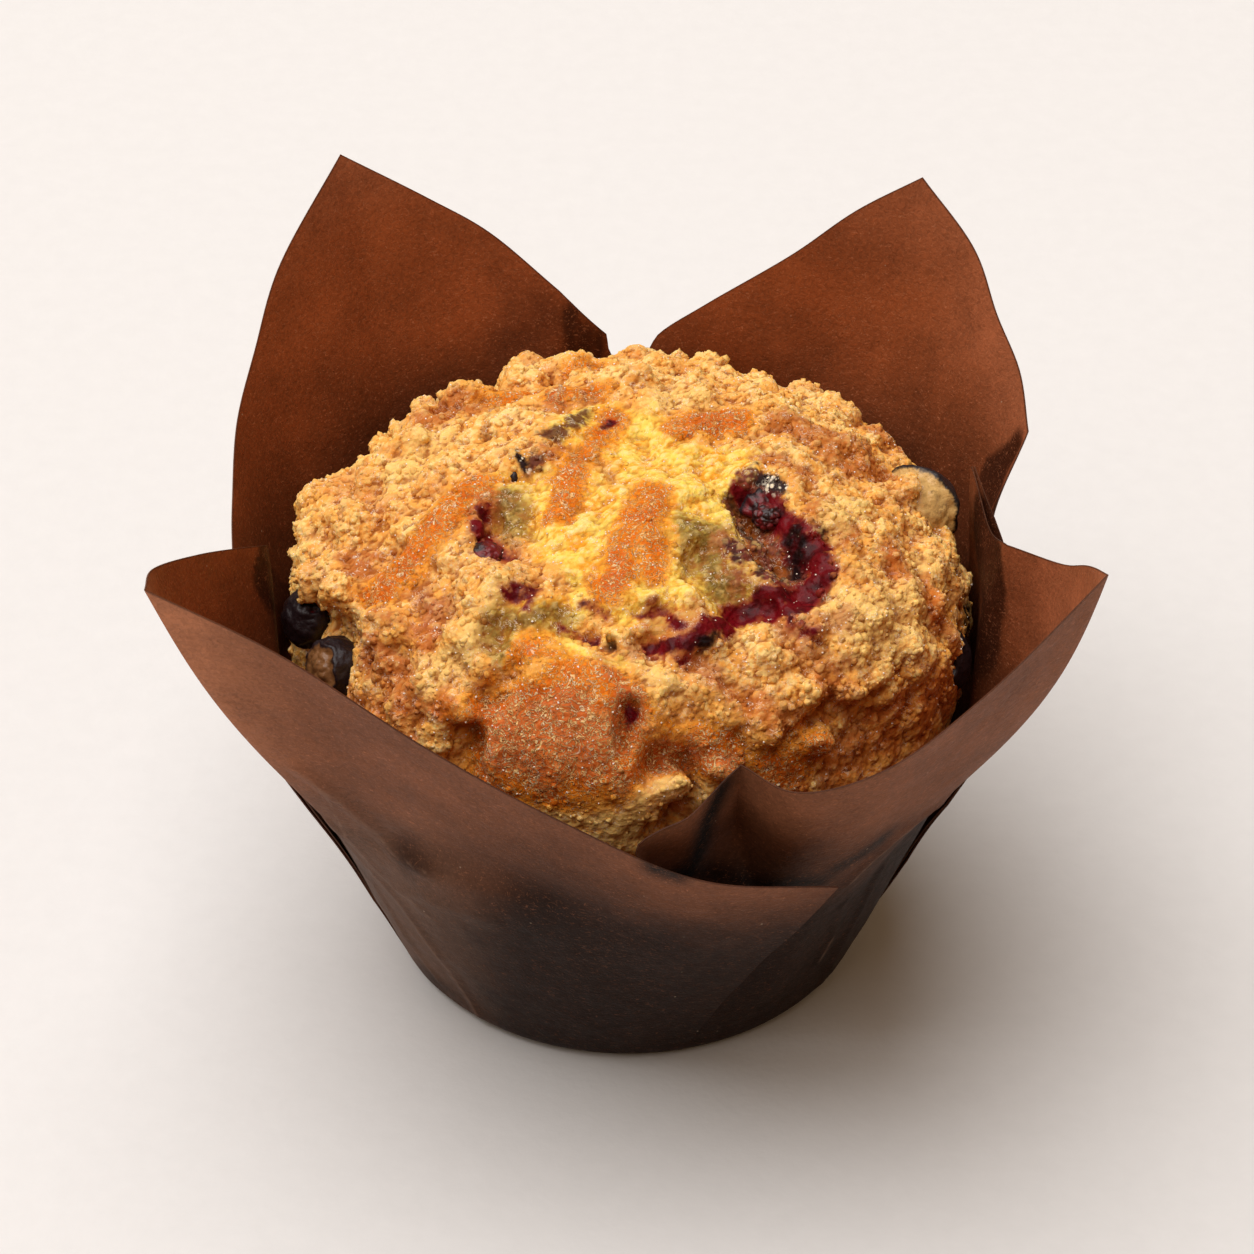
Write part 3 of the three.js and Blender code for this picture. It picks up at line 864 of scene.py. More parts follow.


# Where the crust is bare or stained, and where it carries painted shade, in pixels of the frame, with half
# widths in millimetres.
places = {
    "golden": [
        ([(588, 425), (640, 445), (660, 470), (720, 470)], 4.4),
        ([(560, 500), (600, 545), (650, 590)], 5.2), ([(690, 505), (715, 550), (722, 585)], 4.6),
        ([(505, 495), (530, 520)], 2.8), ([(520, 628), (560, 612)], 2.6),
        ([(560, 655), (600, 668)], 2.4)],
    "sugared": [
        ([(655, 492), (636, 525), (612, 580)], 2.0), ([(650, 520), (652, 568)], 1.5),
        ([(556, 512), (572, 474), (592, 442), (616, 416)], 1.5), ([(524, 650), (556, 654)], 1.2),
        ([(690, 422), (728, 416)], 2.5), ([(468, 490), (432, 530), (382, 588)], 2.3),
        ([(560, 668), (618, 682)], 1.6), ([(495, 738), (560, 722), (612, 735)], 4.4),
        ([(518, 768), (588, 772)], 2.2), ([(655, 755), (728, 752)], 1.8),
        ([(492, 402), (530, 394)], 1.4), ([(560, 395), (600, 392)], 1.5),
        ([(575, 368), (598, 366)], 1.0), ([(765, 770), (830, 745)], 1.8)],
    "khaki": [
        ([(505, 500), (518, 530)], 1.8), ([(700, 528), (708, 566), (738, 600)], 2.4),
        ([(738, 590), (762, 608)], 1.4), ([(515, 622), (555, 612)], 1.5),
        ([(499, 634), (506, 655)], 1.3), ([(506, 676)], 0.9)],
    "toast": [
        ([(420, 425), (500, 392)], 1.8), ([(745, 455), (800, 470)], 1.6),
        ([(790, 425), (835, 440), (880, 470)], 2.4), ([(870, 425), (905, 450)], 1.6),
        ([(900, 560), (930, 600)], 1.8), ([(345, 560), (400, 590)], 1.6),
        ([(438, 684), (446, 712)], 1.2), ([(378, 612), (428, 636)], 1.6),
        ([(370, 660), (420, 700)], 1.8), ([(815, 510), (840, 530)], 2.0),
        ([(545, 460), (585, 430)], 1.8), ([(730, 700), (800, 730)], 1.6),
        # the stroke from (825, 692) is painted shade under the right mass
        ([(825, 692), (855, 678)], 1.1), ([(620, 790), (680, 800)], 1.4)],
    "pale": [
        ([(472, 632), (440, 672)], 2.2), ([(488, 588), (500, 600)], 1.4),
        ([(838, 606), (868, 622), (900, 612)], 2.8), ([(655, 676), (672, 684)], 1.5),
        ([(560, 806), (612, 820), (640, 806)], 1.6), ([(655, 800), (680, 775)], 1.0),
        ([(690, 598)], 1.0), ([(655, 402), (700, 396)], 1.6), ([(450, 430), (400, 470)], 2.2),
        ([(925, 560), (905, 600)], 1.6), ([(830, 520), (850, 505)], 1.6)],
    "browned": [
        ([(505, 742), (560, 722), (604, 740)], 3.4), ([(545, 768), (590, 772)], 1.6),
        ([(655, 760), (700, 752), (735, 765)], 1.6)],
    "caramel": [
        ([(750, 780), (790, 782)], 1.5), ([(835, 765), (890, 742)], 1.8),
        ([(925, 715), (950, 690), (972, 660)], 2.0), ([(330, 670), (350, 695), (400, 735)], 1.2),
        ([(440, 700), (448, 714)], 1.2), ([(870, 715), (905, 700)], 1.0),
        # the stroke from (936, 590) is painted shade on the right side
        ([(812, 722), (825, 724)], 0.8), ([(936, 590), (945, 625)], 1.4),
        ([(885, 548), (905, 572)], 1.0)],
    "juice": [
        ([(735, 490), (742, 500)], 0.7), ([(768, 506), (786, 526), (802, 552)], 1.2),
        ([(768, 606), (790, 600), (800, 606)], 1.7), ([(816, 552), (822, 580), (806, 600)], 1.4),
        ([(765, 612), (735, 620), (707, 629), (680, 644), (652, 650)], 1.2),
        ([(640, 617), (667, 611)], 0.45), ([(668, 620), (690, 630)], 0.6),
        ([(482, 512), (484, 530), (493, 545), (506, 558)], 0.8), ([(503, 589), (540, 590)], 0.4),
        ([(512, 597), (531, 597), (525, 608)], 0.7), ([(582, 604), (603, 612)], 0.4),
        ([(564, 630), (582, 641), (604, 646)], 0.4), ([(632, 715), (626, 728)], 0.6),
        ([(790, 622), (812, 632)], 0.6), ([(610, 424)], 0.5)],
    "stain": [
        ([(795, 530), (814, 560), (818, 605)], 1.6), ([(640, 650), (660, 625), (700, 612)], 1.8),
        ([(790, 622), (835, 622)], 1.6), ([(734, 540), (752, 574)], 1.9),
        ([(690, 662), (715, 676)], 1.3), ([(424, 597), (446, 618)], 1.5),
        ([(600, 655), (640, 700)], 1.0), ([(484, 505), (480, 530), (500, 560)], 1.6),
        ([(552, 405), (592, 400)], 1.0)],
    "skin": [
        ([(764, 480), (780, 486)], 1.0), ([(517, 450), (526, 470)], 0.5)],
    "crater": [
        ([(757, 502), (752, 530), (780, 562), (802, 590)], 3.0), ([(785, 535), (800, 560)], 2.4),
        ([(746, 548), (770, 574)], 1.4)],
    # painted shade with dark juice, in pits, holes and the gap beside the paper
    "trough": [
        ([(750, 508), (764, 520)], 0.8), ([(794, 536), (801, 560), (797, 578)], 1.7),
        ([(776, 518)], 0.7), ([(728, 630), (694, 646)], 0.5),
        ([(967, 604), (970, 650), (964, 690)], 1.0), ([(611, 645)], 0.8),
        ([(482, 436), (496, 433)], 0.4)],
    "burnt": [
        ([(548, 432), (566, 425), (585, 414)], 0.9), ([(530, 455), (540, 468)], 0.5)],
}

swells = {
    "middlePlate": ([(662, 495), (640, 540), (615, 590)], 3.0, 1.0),
    "topPlate": ([(685, 428), (735, 425)], 3.6, 1.0),
    "leftPlate": ([(460, 490), (425, 545)], 3.4, 0.8),
    "frontPlate": ([(510, 735), (600, 745)], 6.0, 1.7),
    "frontLip": ([(530, 660), (640, 690)], 2.4, 1.3),
    "rightMass": ([(840, 610), (890, 660)], 6.5, 2.2),
    "craterRim": ([(835, 520), (850, 560)], 4.0, 1.8),
    "craterTop": ([(760, 470), (800, 480)], 2.4, 1.2),
    "clumpLeft": ([(470, 645), (435, 690)], 3.8, 2.4),
    "clumpPale": ([(495, 590)], 3.0, 2.0),
    "toastLump": ([(550, 440), (530, 455)], 3.2, 1.8),
    "upperRight": ([(790, 430), (830, 450)], 4.5, 1.4),
    "goldenTop": ([(600, 470), (640, 470)], 3.0, 0.5),
}

grooves = {
    "crater": ([(755, 500), (765, 535), (787, 562), (804, 588)], 2.5, 2.8),
    "craterDeep": ([(770, 508), (786, 535), (801, 565)], 1.3, 2.2),
    "streak": ([(770, 610), (715, 626), (655, 650)], 1.2, 1.5),
    "leftCleft": ([(487, 510), (484, 530), (506, 558)], 1.3, 2.4),
    "greyPit": ([(499, 638)], 1.6, 1.8),
    "lipCrack": ([(566, 632), (610, 648)], 0.8, 1.5),
    "lipHole": ([(611, 646)], 0.9, 2.0),
    "frontGap": ([(630, 712), (626, 735)], 1.1, 2.6),
    "frontLedge": ([(655, 775), (690, 785)], 1.5, 2.6),
    "leftValley": ([(470, 740), (500, 690), (515, 670)], 1.5, 1.6),
    "middleCrack": ([(568, 520), (575, 505), (610, 500)], 0.8, 1.1),
    "topCrack": ([(640, 432), (648, 452)], 0.8, 1.0),
    "leftBay": ([(505, 500), (520, 530)], 2.2, 1.0),
    "rightBay": ([(706, 560), (716, 580), (738, 600)], 2.4, 1.5),
    "rightCleft": ([(815, 545), (900, 590)], 1.3, 1.7),
    "rightLedge": ([(818, 727), (850, 720), (900, 690)], 1.4, 1.6),
    "topHole": ([(490, 435)], 0.9, 2.0),
    "rimCleft": ([(370, 560), (395, 545)], 1.3, 1.4),
    "leftShoulder": ([(345, 480), (390, 432), (450, 392), (520, 372)], 5.5, 2.0),
    "leftGap": ([(300, 600), (312, 640), (330, 678)], 2.8, 1.9),
    "leftEdge": ([(312, 505), (322, 490), (335, 470)], 3.2, 3.2),
    "topShoulder": ([(480, 375), (520, 362), (560, 356)], 2.6, 1.6),
    "patchEdge": ([(480, 700), (455, 735), (480, 765)], 1.0, 1.2),
}


def withinWall(points):
    # the baked cake presses against the paper and never through it
    limit = wallRadius(points[:, 2]) - cake["wallHalf"] - cake["gap"]
    scale = np.minimum(1, limit / np.maximum(planRadius(points), 1e-6))
    result = points.copy()
    result[:, :2] *= scale[:, None]
    return result


def turned(outline, sectors):
    # a closed shape turned round the axis from (radius, height) points that run top to bottom
    angle = np.linspace(0, 2 * np.pi, sectors, endpoint=False)
    points = np.stack([np.outer(outline[:, 0], np.cos(angle)), np.outer(outline[:, 0], np.sin(angle)),
                       np.repeat(outline[:, 1][:, None], sectors, 1)], -1).reshape(-1, 3)
    rows = np.arange(len(points)).reshape(-1, sectors)
    after = np.roll(rows, -1, 1)
    faces = np.stack([rows[:-1], rows[1:], after[1:], after[:-1]], -1).reshape(-1, 4).tolist()
    return points, faces + [rows[0].tolist(), rows[-1][::-1].tolist()]


# Bumps of the dome: size, seed and height. Bare crumb and melted sugar smooth them by their share.
domeRelief = {
    "swell": (11, 5, 1.1),
    "lumps": ((5.2, 17, 1.5), (2.6, 19, 0.7)),
    "golden": 0.4,
    "sugared": 0.75,
}


def domeForm():
    outline = profile(cake["top"] + cake["sideFoot"][:1], 0.4)
    rings = np.linspace(cake["firstRing"], lengthAlong(outline)[-1], cake["rings"])
    points, faces = turned(pointsAt(outline, rings), cake["sectors"])
    outward = points - np.array([0, 0, cake["core"]])
    outward /= np.linalg.norm(outward, axis=1, keepdims=True)
    size, seed, rise = domeRelief["swell"]
    lift = rise * softNoise(points, size, seed)
    lift += sum(rise * (curds(points, size, seed) - 0.7) for size, seed, rise in domeRelief["lumps"])
    lift *= 1 - np.maximum(*(domeRelief[name] * strokes(points, places[name], 0.5, 21, 1.5)
                             for name in ("golden", "sugared")))
    for pixels, reach, rise in swells.values():
        lift += rise * np.exp(-(strokeDistance(points, pixels) / reach) ** 2)
    for pixels, reach, depth in grooves.values():
        lift -= depth * np.exp(-(strokeDistance(points, pixels) / reach) ** 4)
    crust = smoothStep(points[:, 2], *cake["swellsFrom"])
    return withinWall(points + outward * (lift * crust)[:, None]), faces


def hiddenSide():
    # the plain side and floor of the cake, behind the paper
    outline = profile(cake["sideTop"] + cake["sideFoot"], 2.0)
    points, faces = turned(np.concatenate([outline, [cake["floor"]]]), cake["sideSectors"])
    return withinWall(points), faces


# Clumps of streusel that stand out most: pixel, radius in millimetres.
namedClumps = [
    ((470, 640), 2.6), ((440, 685), 3.0), ((405, 705), 2.4), ((495, 592), 2.4), ((545, 438), 2.2),
    ((662, 680), 2.1), ((690, 598), 1.5), ((845, 505), 2.6), ((866, 620), 3.6), ((905, 650), 3.2),
    ((845, 670), 3.0), ((800, 690), 2.6), ((770, 655), 2.0), ((895, 600), 3.0), ((925, 560), 2.8),
    ((780, 425), 2.4), ((640, 385), 2.4), ((560, 395), 2.2), ((470, 400), 2.4), ((420, 445), 2.8),
    ((360, 520), 2.6), ((345, 590), 2.8), ((385, 620), 2.4), ((640, 800), 2.2), ((610, 820), 2.0),
    ((760, 720), 2.4), ((700, 690), 1.8), ((880, 540), 2.6), ((850, 450), 2.6), ((900, 490), 2.2),
    ((655, 405), 1.8), ((700, 398), 1.6), ((528, 800), 1.6), ((668, 785), 2.0), ((500, 790), 1.4),
    ((585, 805), 2.0), ((560, 798), 1.5), ((820, 740), 1.8), ((720, 770), 1.5), ((540, 600), 1.3),
    ((620, 640), 1.2), ((650, 600), 1.0),
]

clumpRule = {
    "seed": 12,
    "count": 260,
    "small": 1.0,
    "large": 3.2,
    "bias": 1.8,              # above 1 makes small ones more usual
    "sink": 0.55,
    "stand": 1.0,             # how much prouder a named one stands
    "rough": 0.42,
    "squash": 0.8,
    "radius": 36.5,
    "edge": 35.5,             # from here out they drop down the side by up to drop
    "drop": 8,
}


def clumps():
    random = np.random.default_rng(clumpRule["seed"])
    ball, sides = ballShape(3)
    spots = [(onDome(*pixel), size) for pixel, size in namedClumps]
    span = clumpRule["large"] - clumpRule["small"]
    while len(spots) < clumpRule["count"]:
        radius = clumpRule["radius"] * math.sqrt(random.random())
        angle = random.random() * 2 * math.pi
        size = clumpRule["small"] + span * random.random() ** clumpRule["bias"]
        z = float(np.interp(radius, domeTable, domeTableHeight))
        if radius > clumpRule["edge"]:
            z -= clumpRule["drop"] * random.random()
        spots.append((np.array([radius * math.cos(angle), radius * math.sin(angle), z]), size))
    centres = np.array([spot for spot, _ in spots])
    bare = strokes(centres, places["golden"] + places["sugared"] + places["crater"], 0, 0, 1.2)
    shapes = []
    for number, ((spot, size), covered) in enumerate(zip(spots, bare)):
        named = number < len(namedClumps)
        if covered > 0.3 and not named:
            continue
        rough = clumpRule["rough"] * layeredNoise(ball + number * 3.7, 0.9, 31)
        lump = ball * (1 + rough[:, None]) * size
        lump[:, 2] *= clumpRule["squash"]
        sink = clumpRule["sink"] * size - (clumpRule["stand"] if named else 0)
        shapes.append((withinWall(lump + spot - np.array([0, 0, sink])), sides))
    return shapes


def crumbKinds(name, shapes):
    # the shapes that a scatterer picks from, each about one millimetre across
    collection = bpy.data.collections.new(name)
    for number, (points, sides) in enumerate(shapes):
        piece = meshFrom(f"{name}{number}", points, sides)
        bpy.context.collection.objects.unlink(piece)
        collection.objects.link(piece)
    return collection


def granuleShapes(subdivisions, count=6):
    ball, sides = ballShape(subdivisions)
    return [(ball * (0.5 + 0.2 * layeredNoise(ball + kind * 5.3, 0.9, 57)[:, None]) * [1, 1, 0.85], sides)
            for kind in range(count)]


def crystalShapes(count=4):
    # sugar crystals: uneven little blocks
    random = np.random.default_rng(8)
    corners = np.array(list(np.ndindex(2, 2, 2)), float) - 0.5
    sides = [(0, 1, 3, 2), (4, 6, 7, 5), (0, 4, 5, 1), (2, 3, 7, 6), (0, 2, 6, 4), (1, 5, 7, 3)]
    return [(corners * random.uniform(0.6, 1.1, 3) + random.uniform(-0.08, 0.08, (8, 3)), sides)
            for _ in range(count)]


# Crumbs turn by up to this about each axis, and their density is given for a square millimetre.
fullTurn = (6.283, 6.283, 6.283)
squareMillimetres = 1e6


def scatterTree(name, keep):
    # scatters crumbs over a surface where its mark says so; keep also passes the surface itself on
    tree = bpy.data.node_groups.new(name, "GeometryNodeTree")
    defaults = {"Density": 1.0, "Smallest": 0.5, "Largest": 1.5, "Bias": 2.0, "Sink": 0.2}
    face = tree.interface
    face.new_socket("Geometry", in_out="INPUT", socket_type="NodeSocketGeometry")
    face.new_socket("Crumbs", in_out="INPUT", socket_type="NodeSocketCollection")
    for label, value in defaults.items():
        face.new_socket(label, in_out="INPUT", socket_type="NodeSocketFloat").default_value = value
    face.new_socket("Seed", in_out="INPUT", socket_type="NodeSocketInt")
    face.new_socket("Material", in_out="INPUT", socket_type="NodeSocketMaterial")
    face.new_socket("Geometry", in_out="OUTPUT", socket_type="NodeSocketGeometry")
    board = Board(tree)
    source = tree.nodes.new("NodeGroupInput")

    def given(label):
        return Wire(board, source.outputs[label])

    where = board.add("GeometryNodeInputNamedAttribute", {"data_type": "FLOAT"}, {"Name": "scatter"})
    spread = board.add("GeometryNodeDistributePointsOnFaces", {"distribute_method": "RANDOM"}, {
        "Mesh": given("Geometry"), "Density": where * given("Density") * squareMillimetres,
        "Seed": given("Seed")})
    kinds = board.add("GeometryNodeCollectionInfo", {"transform_space": "ORIGINAL"}, {
        "Collection": given("Crumbs"), "Separate Children": True})
    turn = board.add("FunctionNodeRandomValue", {"data_type": "FLOAT_VECTOR"}, {
        "Min": (0, 0, 0), "Max": fullTurn, "Seed": given("Seed") + 1})
    chance = board.add("FunctionNodeRandomValue", {"data_type": "FLOAT"}, {
        "Min": 0.0, "Max": 1.0, "Seed": given("Seed") + 2}, 1)
    size = given("Smallest") + (given("Largest") - given("Smallest")) * chance ** given("Bias")
    placed = board.add("GeometryNodeInstanceOnPoints", None, {
        "Points": spread, "Instance": kinds, "Pick Instance": True, "Rotation": turn, "Scale": size})
    normal = Wire(board, spread.socket.node.outputs["Normal"])
    push = board.add("ShaderNodeVectorMath", {"operation": "SCALE"}, {
        0: normal, "Scale": given("Sink") * size * (-mm)})
    moved = board.add("GeometryNodeSetPosition", None, {"Geometry": placed, "Offset": push})
    real = board.add("GeometryNodeRealizeInstances", None, {"Geometry": moved})
    if keep:
        join = board.add("GeometryNodeJoinGeometry")
        tree.links.new(given("Geometry").socket, join.socket.node.inputs[0])
        tree.links.new(real.socket, join.socket.node.inputs[0])
        real = join
    dressed = board.add("GeometryNodeSetMaterial", None, {"Geometry": real, "Material": given("Material")})
    end = tree.nodes.new("NodeGroupOutput")
    tree.links.new(dressed.socket, end.inputs[0])
    return tree


def scatterOn(piece, tree, **inputs):
    modifier = piece.modifiers.new("scatter", "NODES")
    modifier.node_group = tree
    for item in tree.interface.items_tree:
        if item.in_out == "INPUT" and item.name in inputs:
            modifier[item.identifier] = inputs[item.name]
    bakeModifiers(piece)


def closeBottom(piece, height):
    # drops the remeshed underside, and closes the rim it leaves with one flat face
    work = bmesh.new()
    work.from_mesh(piece.data)
    bmesh.ops.delete(work, geom=[v for v in work.verts if v.co.z < height * mm], context="VERTS")
    bmesh.ops.delete(work, geom=[v for v in work.verts if not v.link_faces], context="VERTS")
    rim = [e for e in work.edges if e.is_boundary]
    for vertex in {v for e in rim for v in e.verts}:
        vertex.co.z = height * mm
    bmesh.ops.holes_fill(work, edges=rim, sides=0)
    work.to_mesh(piece.data)
    work.free()


# Two sizes of granule are fused on: density for each square millimetre, sizes in millimetres.
granuleRules = {
    "lumps": {"Density": 0.09, "Smallest": 1.1, "Largest": 2.8, "Bias": 1.8, "Sink": 0.35, "Seed": 4},
    "grains": {"Density": 0.8, "Smallest": 0.55, "Largest": 1.15, "Bias": 1.5, "Sink": 0.2, "Seed": 9},
}


def buildTop(material, granules):
    print("  dome and clumps")
    form = meshFrom("muffin_top", *joinShapes([domeForm()] + clumps()), material)
    voxelFuse(form, cake["lumpVoxel"], material)
    points = pointsOf(form.data)
    bare = strokes(points, places["golden"] + places["sugared"], 0.9, 21, 0.8)
    wet = strokes(points, places["crater"] + places["trough"], 0.3, 5, 0.5)
    shown = smoothStep(points[:, 2], *cake["granulesFrom"])
    markPoints(form.data, "scatter", (1 - np.maximum(0.95 * bare, wet)) * shown)
    print("  streusel granules")
    tree = scatterTree("fused granules", True)
    for rule in granuleRules.values():
        scatterOn(form, tree, Crumbs=granules, Material=material, **rule)
    bpy.data.node_groups.remove(tree)
    voxelFuse(form, cake["voxel"], material)
    closeBottom(form, cake["seamHeight"])
    print("  top has", len(form.data.polygons), "faces")
    return form


# Edges of the painted marks: how far they wobble and how soft they are.
markEdges = {
    "golden": (0.9, 1.8), "sugared": (0.8, 2.0), "khaki": (0.8, 2.8), "toast": (1.2, 1.6),
    "browned": (1.4, 2.2), "caramel": (1.0, 1.4), "juice": (0.5, 0.9), "stain": (0.8, 1.3),
    "crater": (0.8, 1.2), "pale": (0.9, 1.6), "skin": (0.3, 0.8), "trough": (0.6, 1.0),
    "burnt": (0.5, 1.1),
}

# Curds of the skin: size, seed and height.
skinCurds = {
    "spongy": ((2.9, 81, 0.3), (1.1, 84, 0.22)),
    "sugary": ((1.0, 87, 0.2),),
    "grainy": ((2.2, 91, 0.24), (0.9, 95, 0.15)),
}
sugarSwell = (2.8, 88, 0.2)


def shapeTop(top):
    # fine relief, and the marks that the finish reads
    mesh = top.data
    points = pointsOf(mesh)
    normals = normalsOf(mesh)
    tree = sightTree(top)
    marks = {name: painted(tree, points, places[name], wobble, 20 * number, soft)
             for number, (name, (wobble, soft)) in enumerate(markEdges.items())}
    plated = marks["sugared"]
    sponge = np.clip(marks["golden"] + marks["khaki"], 0, 1) * (1 - plated)
    spongy, sugary, grainy = (sum((curds(points, size, seed) - 0.6) * rise for size, seed, rise in kinds)
                              for kinds in skinCurds.values())
    size, seed, rise = sugarSwell
    sugary = sugary + rise * softNoise(points, size, seed)
    lift = spongy * sponge + sugary * plated + grainy * (1 - sponge - plated)
    shown = smoothStep(points[:, 2], *cake["reliefFrom"])
    points = withinWall(points + normals * (lift * shown)[:, None])
    movePoints(mesh, points)
    near = neighbourMean(mesh, points, 4)
    wide = neighbourMean(mesh, near, 24)
    marks["cavity"] = np.einsum("ij,ij->i", points - near, normals)
    marks["relief"] = np.einsum("ij,ij->i", points - wide, normals)
    marks["low"] = 1 - smoothStep(points[:, 2], *cake["lowBelow"])
    for name, values in marks.items():
        markPoints(mesh, name, values)


def addHiddenSide(top):
    side = meshFrom("hidden_side", *hiddenSide())
    work = bmesh.new()
    work.from_mesh(top.data)
    work.from_mesh(side.data)
    work.to_mesh(top.data)
    work.free()
    bpy.data.meshes.remove(side.data)


cakeLook = {
    "streusel": (246, 174, 82),
    # pale streusel, also used as the painted highlight on crowns
    "paleStreuselAndHighlight": (255, 214, 134),
    "streuselToast": (214, 124, 46),
    "clump": (255, 208, 122),
    # painted shade in hollows and pits
    "creviceShade": (156, 80, 22),
    "golden": (255, 216, 96),
    "goldenCrownHighlight": (255, 232, 150),
    "goldenDeep": (244, 164, 40),
    "khaki": (166, 131, 64),
    "khakiDeep": (90, 62, 20),
    "crust": (250, 160, 44),
    "sugared": (246, 136, 20),
    "sugaredDark": (226, 110, 26),
    "browned": (218, 122, 66),
    "sugarStrandAndHighlight": (255, 208, 140),
    "strandGap": (198, 86, 14),
    "toast": (184, 92, 32),
    "caramel": (206, 108, 32),
    "burnt": (84, 30, 26),
    "stain": (166, 78, 58),
    "crater": (114, 46, 46),
    "craterDark": (50, 10, 20),
    "seep": (150, 36, 28),
    "juice": (110, 5, 16),
    "juiceDeep": (66, 6, 12),
    "darkJuiceAndShade": (24, 3, 6),
    "skin": (50, 34, 34),
    "speck": (242, 228, 204),
    # painted highlights
    "sparkle": (255, 242, 216),
}


def cakeFinish():
    f = Finish("muffin crumb", cakeLook, Specular_IOR_Level=0.09, Subsurface_Weight=0.16,
               Subsurface_Scale=0.0015, Subsurface_Radius=(1.0, 0.5, 0.2), Coat_Roughness=0.1)
    broad = f.noise(8, 2)
    middle = f.noise(2.4, 3)
    fine = f.noise(0.6, 3)
    cavity = f.mark("cavity")

    def ragged(name, low, high, unevenness=1.3):
        # a mark whose edge the crumb's own grain breaks up, and never outside the mark
        mark = f.mark(name)
        return f.band(mark + unevenness * (middle + 0.5 * fine - 0.75), low, high) * f.band(mark, 0.0, 0.2)

    # streusel
    f.base = f.blend(f.band(middle + 0.9 * (fine - 0.5), 0.4, 0.66), "streusel", "paleStreuselAndHighlight")
    f.paint(f.band(broad + 0.9 * (middle - 0.5), 0.48, 0.7) * 0.6, "streuselToast")
    # toasted crumb, and painted shade where that one stroke lies
    f.paint(ragged("toast", 0.1, 0.9, 1.8) * 0.8, "toast")
    pale = ragged("pale", 0.1, 0.9)
    f.paint(pale * 0.8, "clump")

    # bare crumb, dry and moist
    bare = f.blend(f.band(f.noise(3.4, 4) + 0.6 * (fine - 0.5), 0.38, 0.68), "golden", "goldenDeep")
    # painted highlight on the crowns of the bare crumb
    bare = f.blend(f.band(cavity + 0.12 * (fine - 0.5), 0.0, 0.1) * 0.6, bare, "goldenCrownHighlight")
    golden = ragged("golden", 0.1, 0.8, 1.5)
    f.paint(golden, bare)
    moist = f.blend(f.band(middle + 0.4 * (fine - 0.5), 0.42, 0.66), "khakiDeep", "khaki")
    f.paint(ragged("khaki", 0.1, 0.9, 1.0) * 0.92, moist)

    # melted sugar, and what has browned or turned to caramel, with painted shade at one caramel stroke
    crusted = (f.mark("sugared") + 1.0 * (middle + 0.4 * fine - 0.7)) * f.band(f.mark("sugared"), 0.0, 0.2)
    f.paint(f.band(crusted, 0.05, 0.5) * 0.9, "crust")
    f.paint(f.band(crusted, 0.35, 0.85), "sugared")
    f.paint(f.band(crusted + 1.0 * (f.noise(3.4, 2) - 0.5), 0.7, 1.2), "sugaredDark")
    baked = f.band(f.mark("browned") + 0.9 * (f.noise(2.8, 3) - 0.5), 0.25, 0.95)
    f.paint(baked * 0.85, "browned")
    # caramel glaze, with painted shade at one stroke; a little more of it towards the crust's lower edge
    glazed = f.band(f.mark("caramel") + 1.8 * (middle - 0.5) + 0.06 * f.mark("low"), 0.3, 0.9)
    f.paint(glazed * 0.75, "caramel")

    # berry stains and the crater's flesh
    f.paint(ragged("stain", 0.1, 1.0, 1.8) * 0.55, "stain")
    soft = f.blend(f.band(f.noise(1.7, 3), 0.42, 0.6), "crater", "craterDark")
    f.paint(ragged("crater", 0.1, 0.7, 1.6) * 0.95, soft)

    # painted shade in hollows and valleys, and a painted highlight on crowns
    hollowShade = 1 - f.band(cavity, -0.12, 0.015)
    f.paint(hollowShade * (1 - 0.45 * golden) * 0.8, "creviceShade")
    valleyShade = 1 - f.band(f.mark("relief"), -0.45, 0.05)
    f.paint(valleyShade * (1 - 0.5 * golden) * (1 - 0.6 * pale) * 0.5, "creviceShade")
    f.paint(f.band(cavity, 0.02, 0.14) * 0.35, "paleStreuselAndHighlight")

    # pale sugar strands with a painted highlight on them, painted shade in small pits, and burnt tips
    strands = abs(f.noise(0.76, 1, 1.6) - 0.5)
    sugary = f.band(crusted, 0.25, 0.8)
    f.paint(f.band(strands, 0.06, 0.2) * sugary * 0.6, "strandGap")
    wormy = (1 - f.band(strands, 0.014, 0.066)) * sugary
    f.paint(wormy * f.band(f.noise(1.6), 0.3, 0.5) * (0.82 + 0.16 * baked), "sugarStrandAndHighlight")
    pitShade = (1 - f.band(f.cells(1.7), 0.06, 0.13)) * (1 - golden) * f.band(f.noise(4), 0.45, 0.6)
    f.paint(pitShade * 0.85, "creviceShade")
    f.paint(ragged("burnt", 0.1, 0.9, 1.8) * 0.9, "burnt")

    # juice, then dark juice with painted shade in the troughs
    soaked = f.mark("juice") + 1.6 * (f.noise(1.3, 3) - 0.5)
    inside = f.band(f.mark("juice"), 0.0, 0.3)
    wet = f.band(soaked, 0.35, 0.85) * inside
    f.paint(f.band(soaked, 0.0, 0.7) * inside * 0.75, "seep")
    f.paint(wet, f.blend(f.band(middle, 0.32, 0.6), "juiceDeep", "juice"))
    troughShade = f.band(f.mark("trough") + 1.6 * (f.noise(1.4, 3) - 0.5), 0.3, 1.15)
    troughShade = troughShade * f.band(f.mark("trough"), 0.0, 0.3)
    f.paint(troughShade, "darkJuiceAndShade")

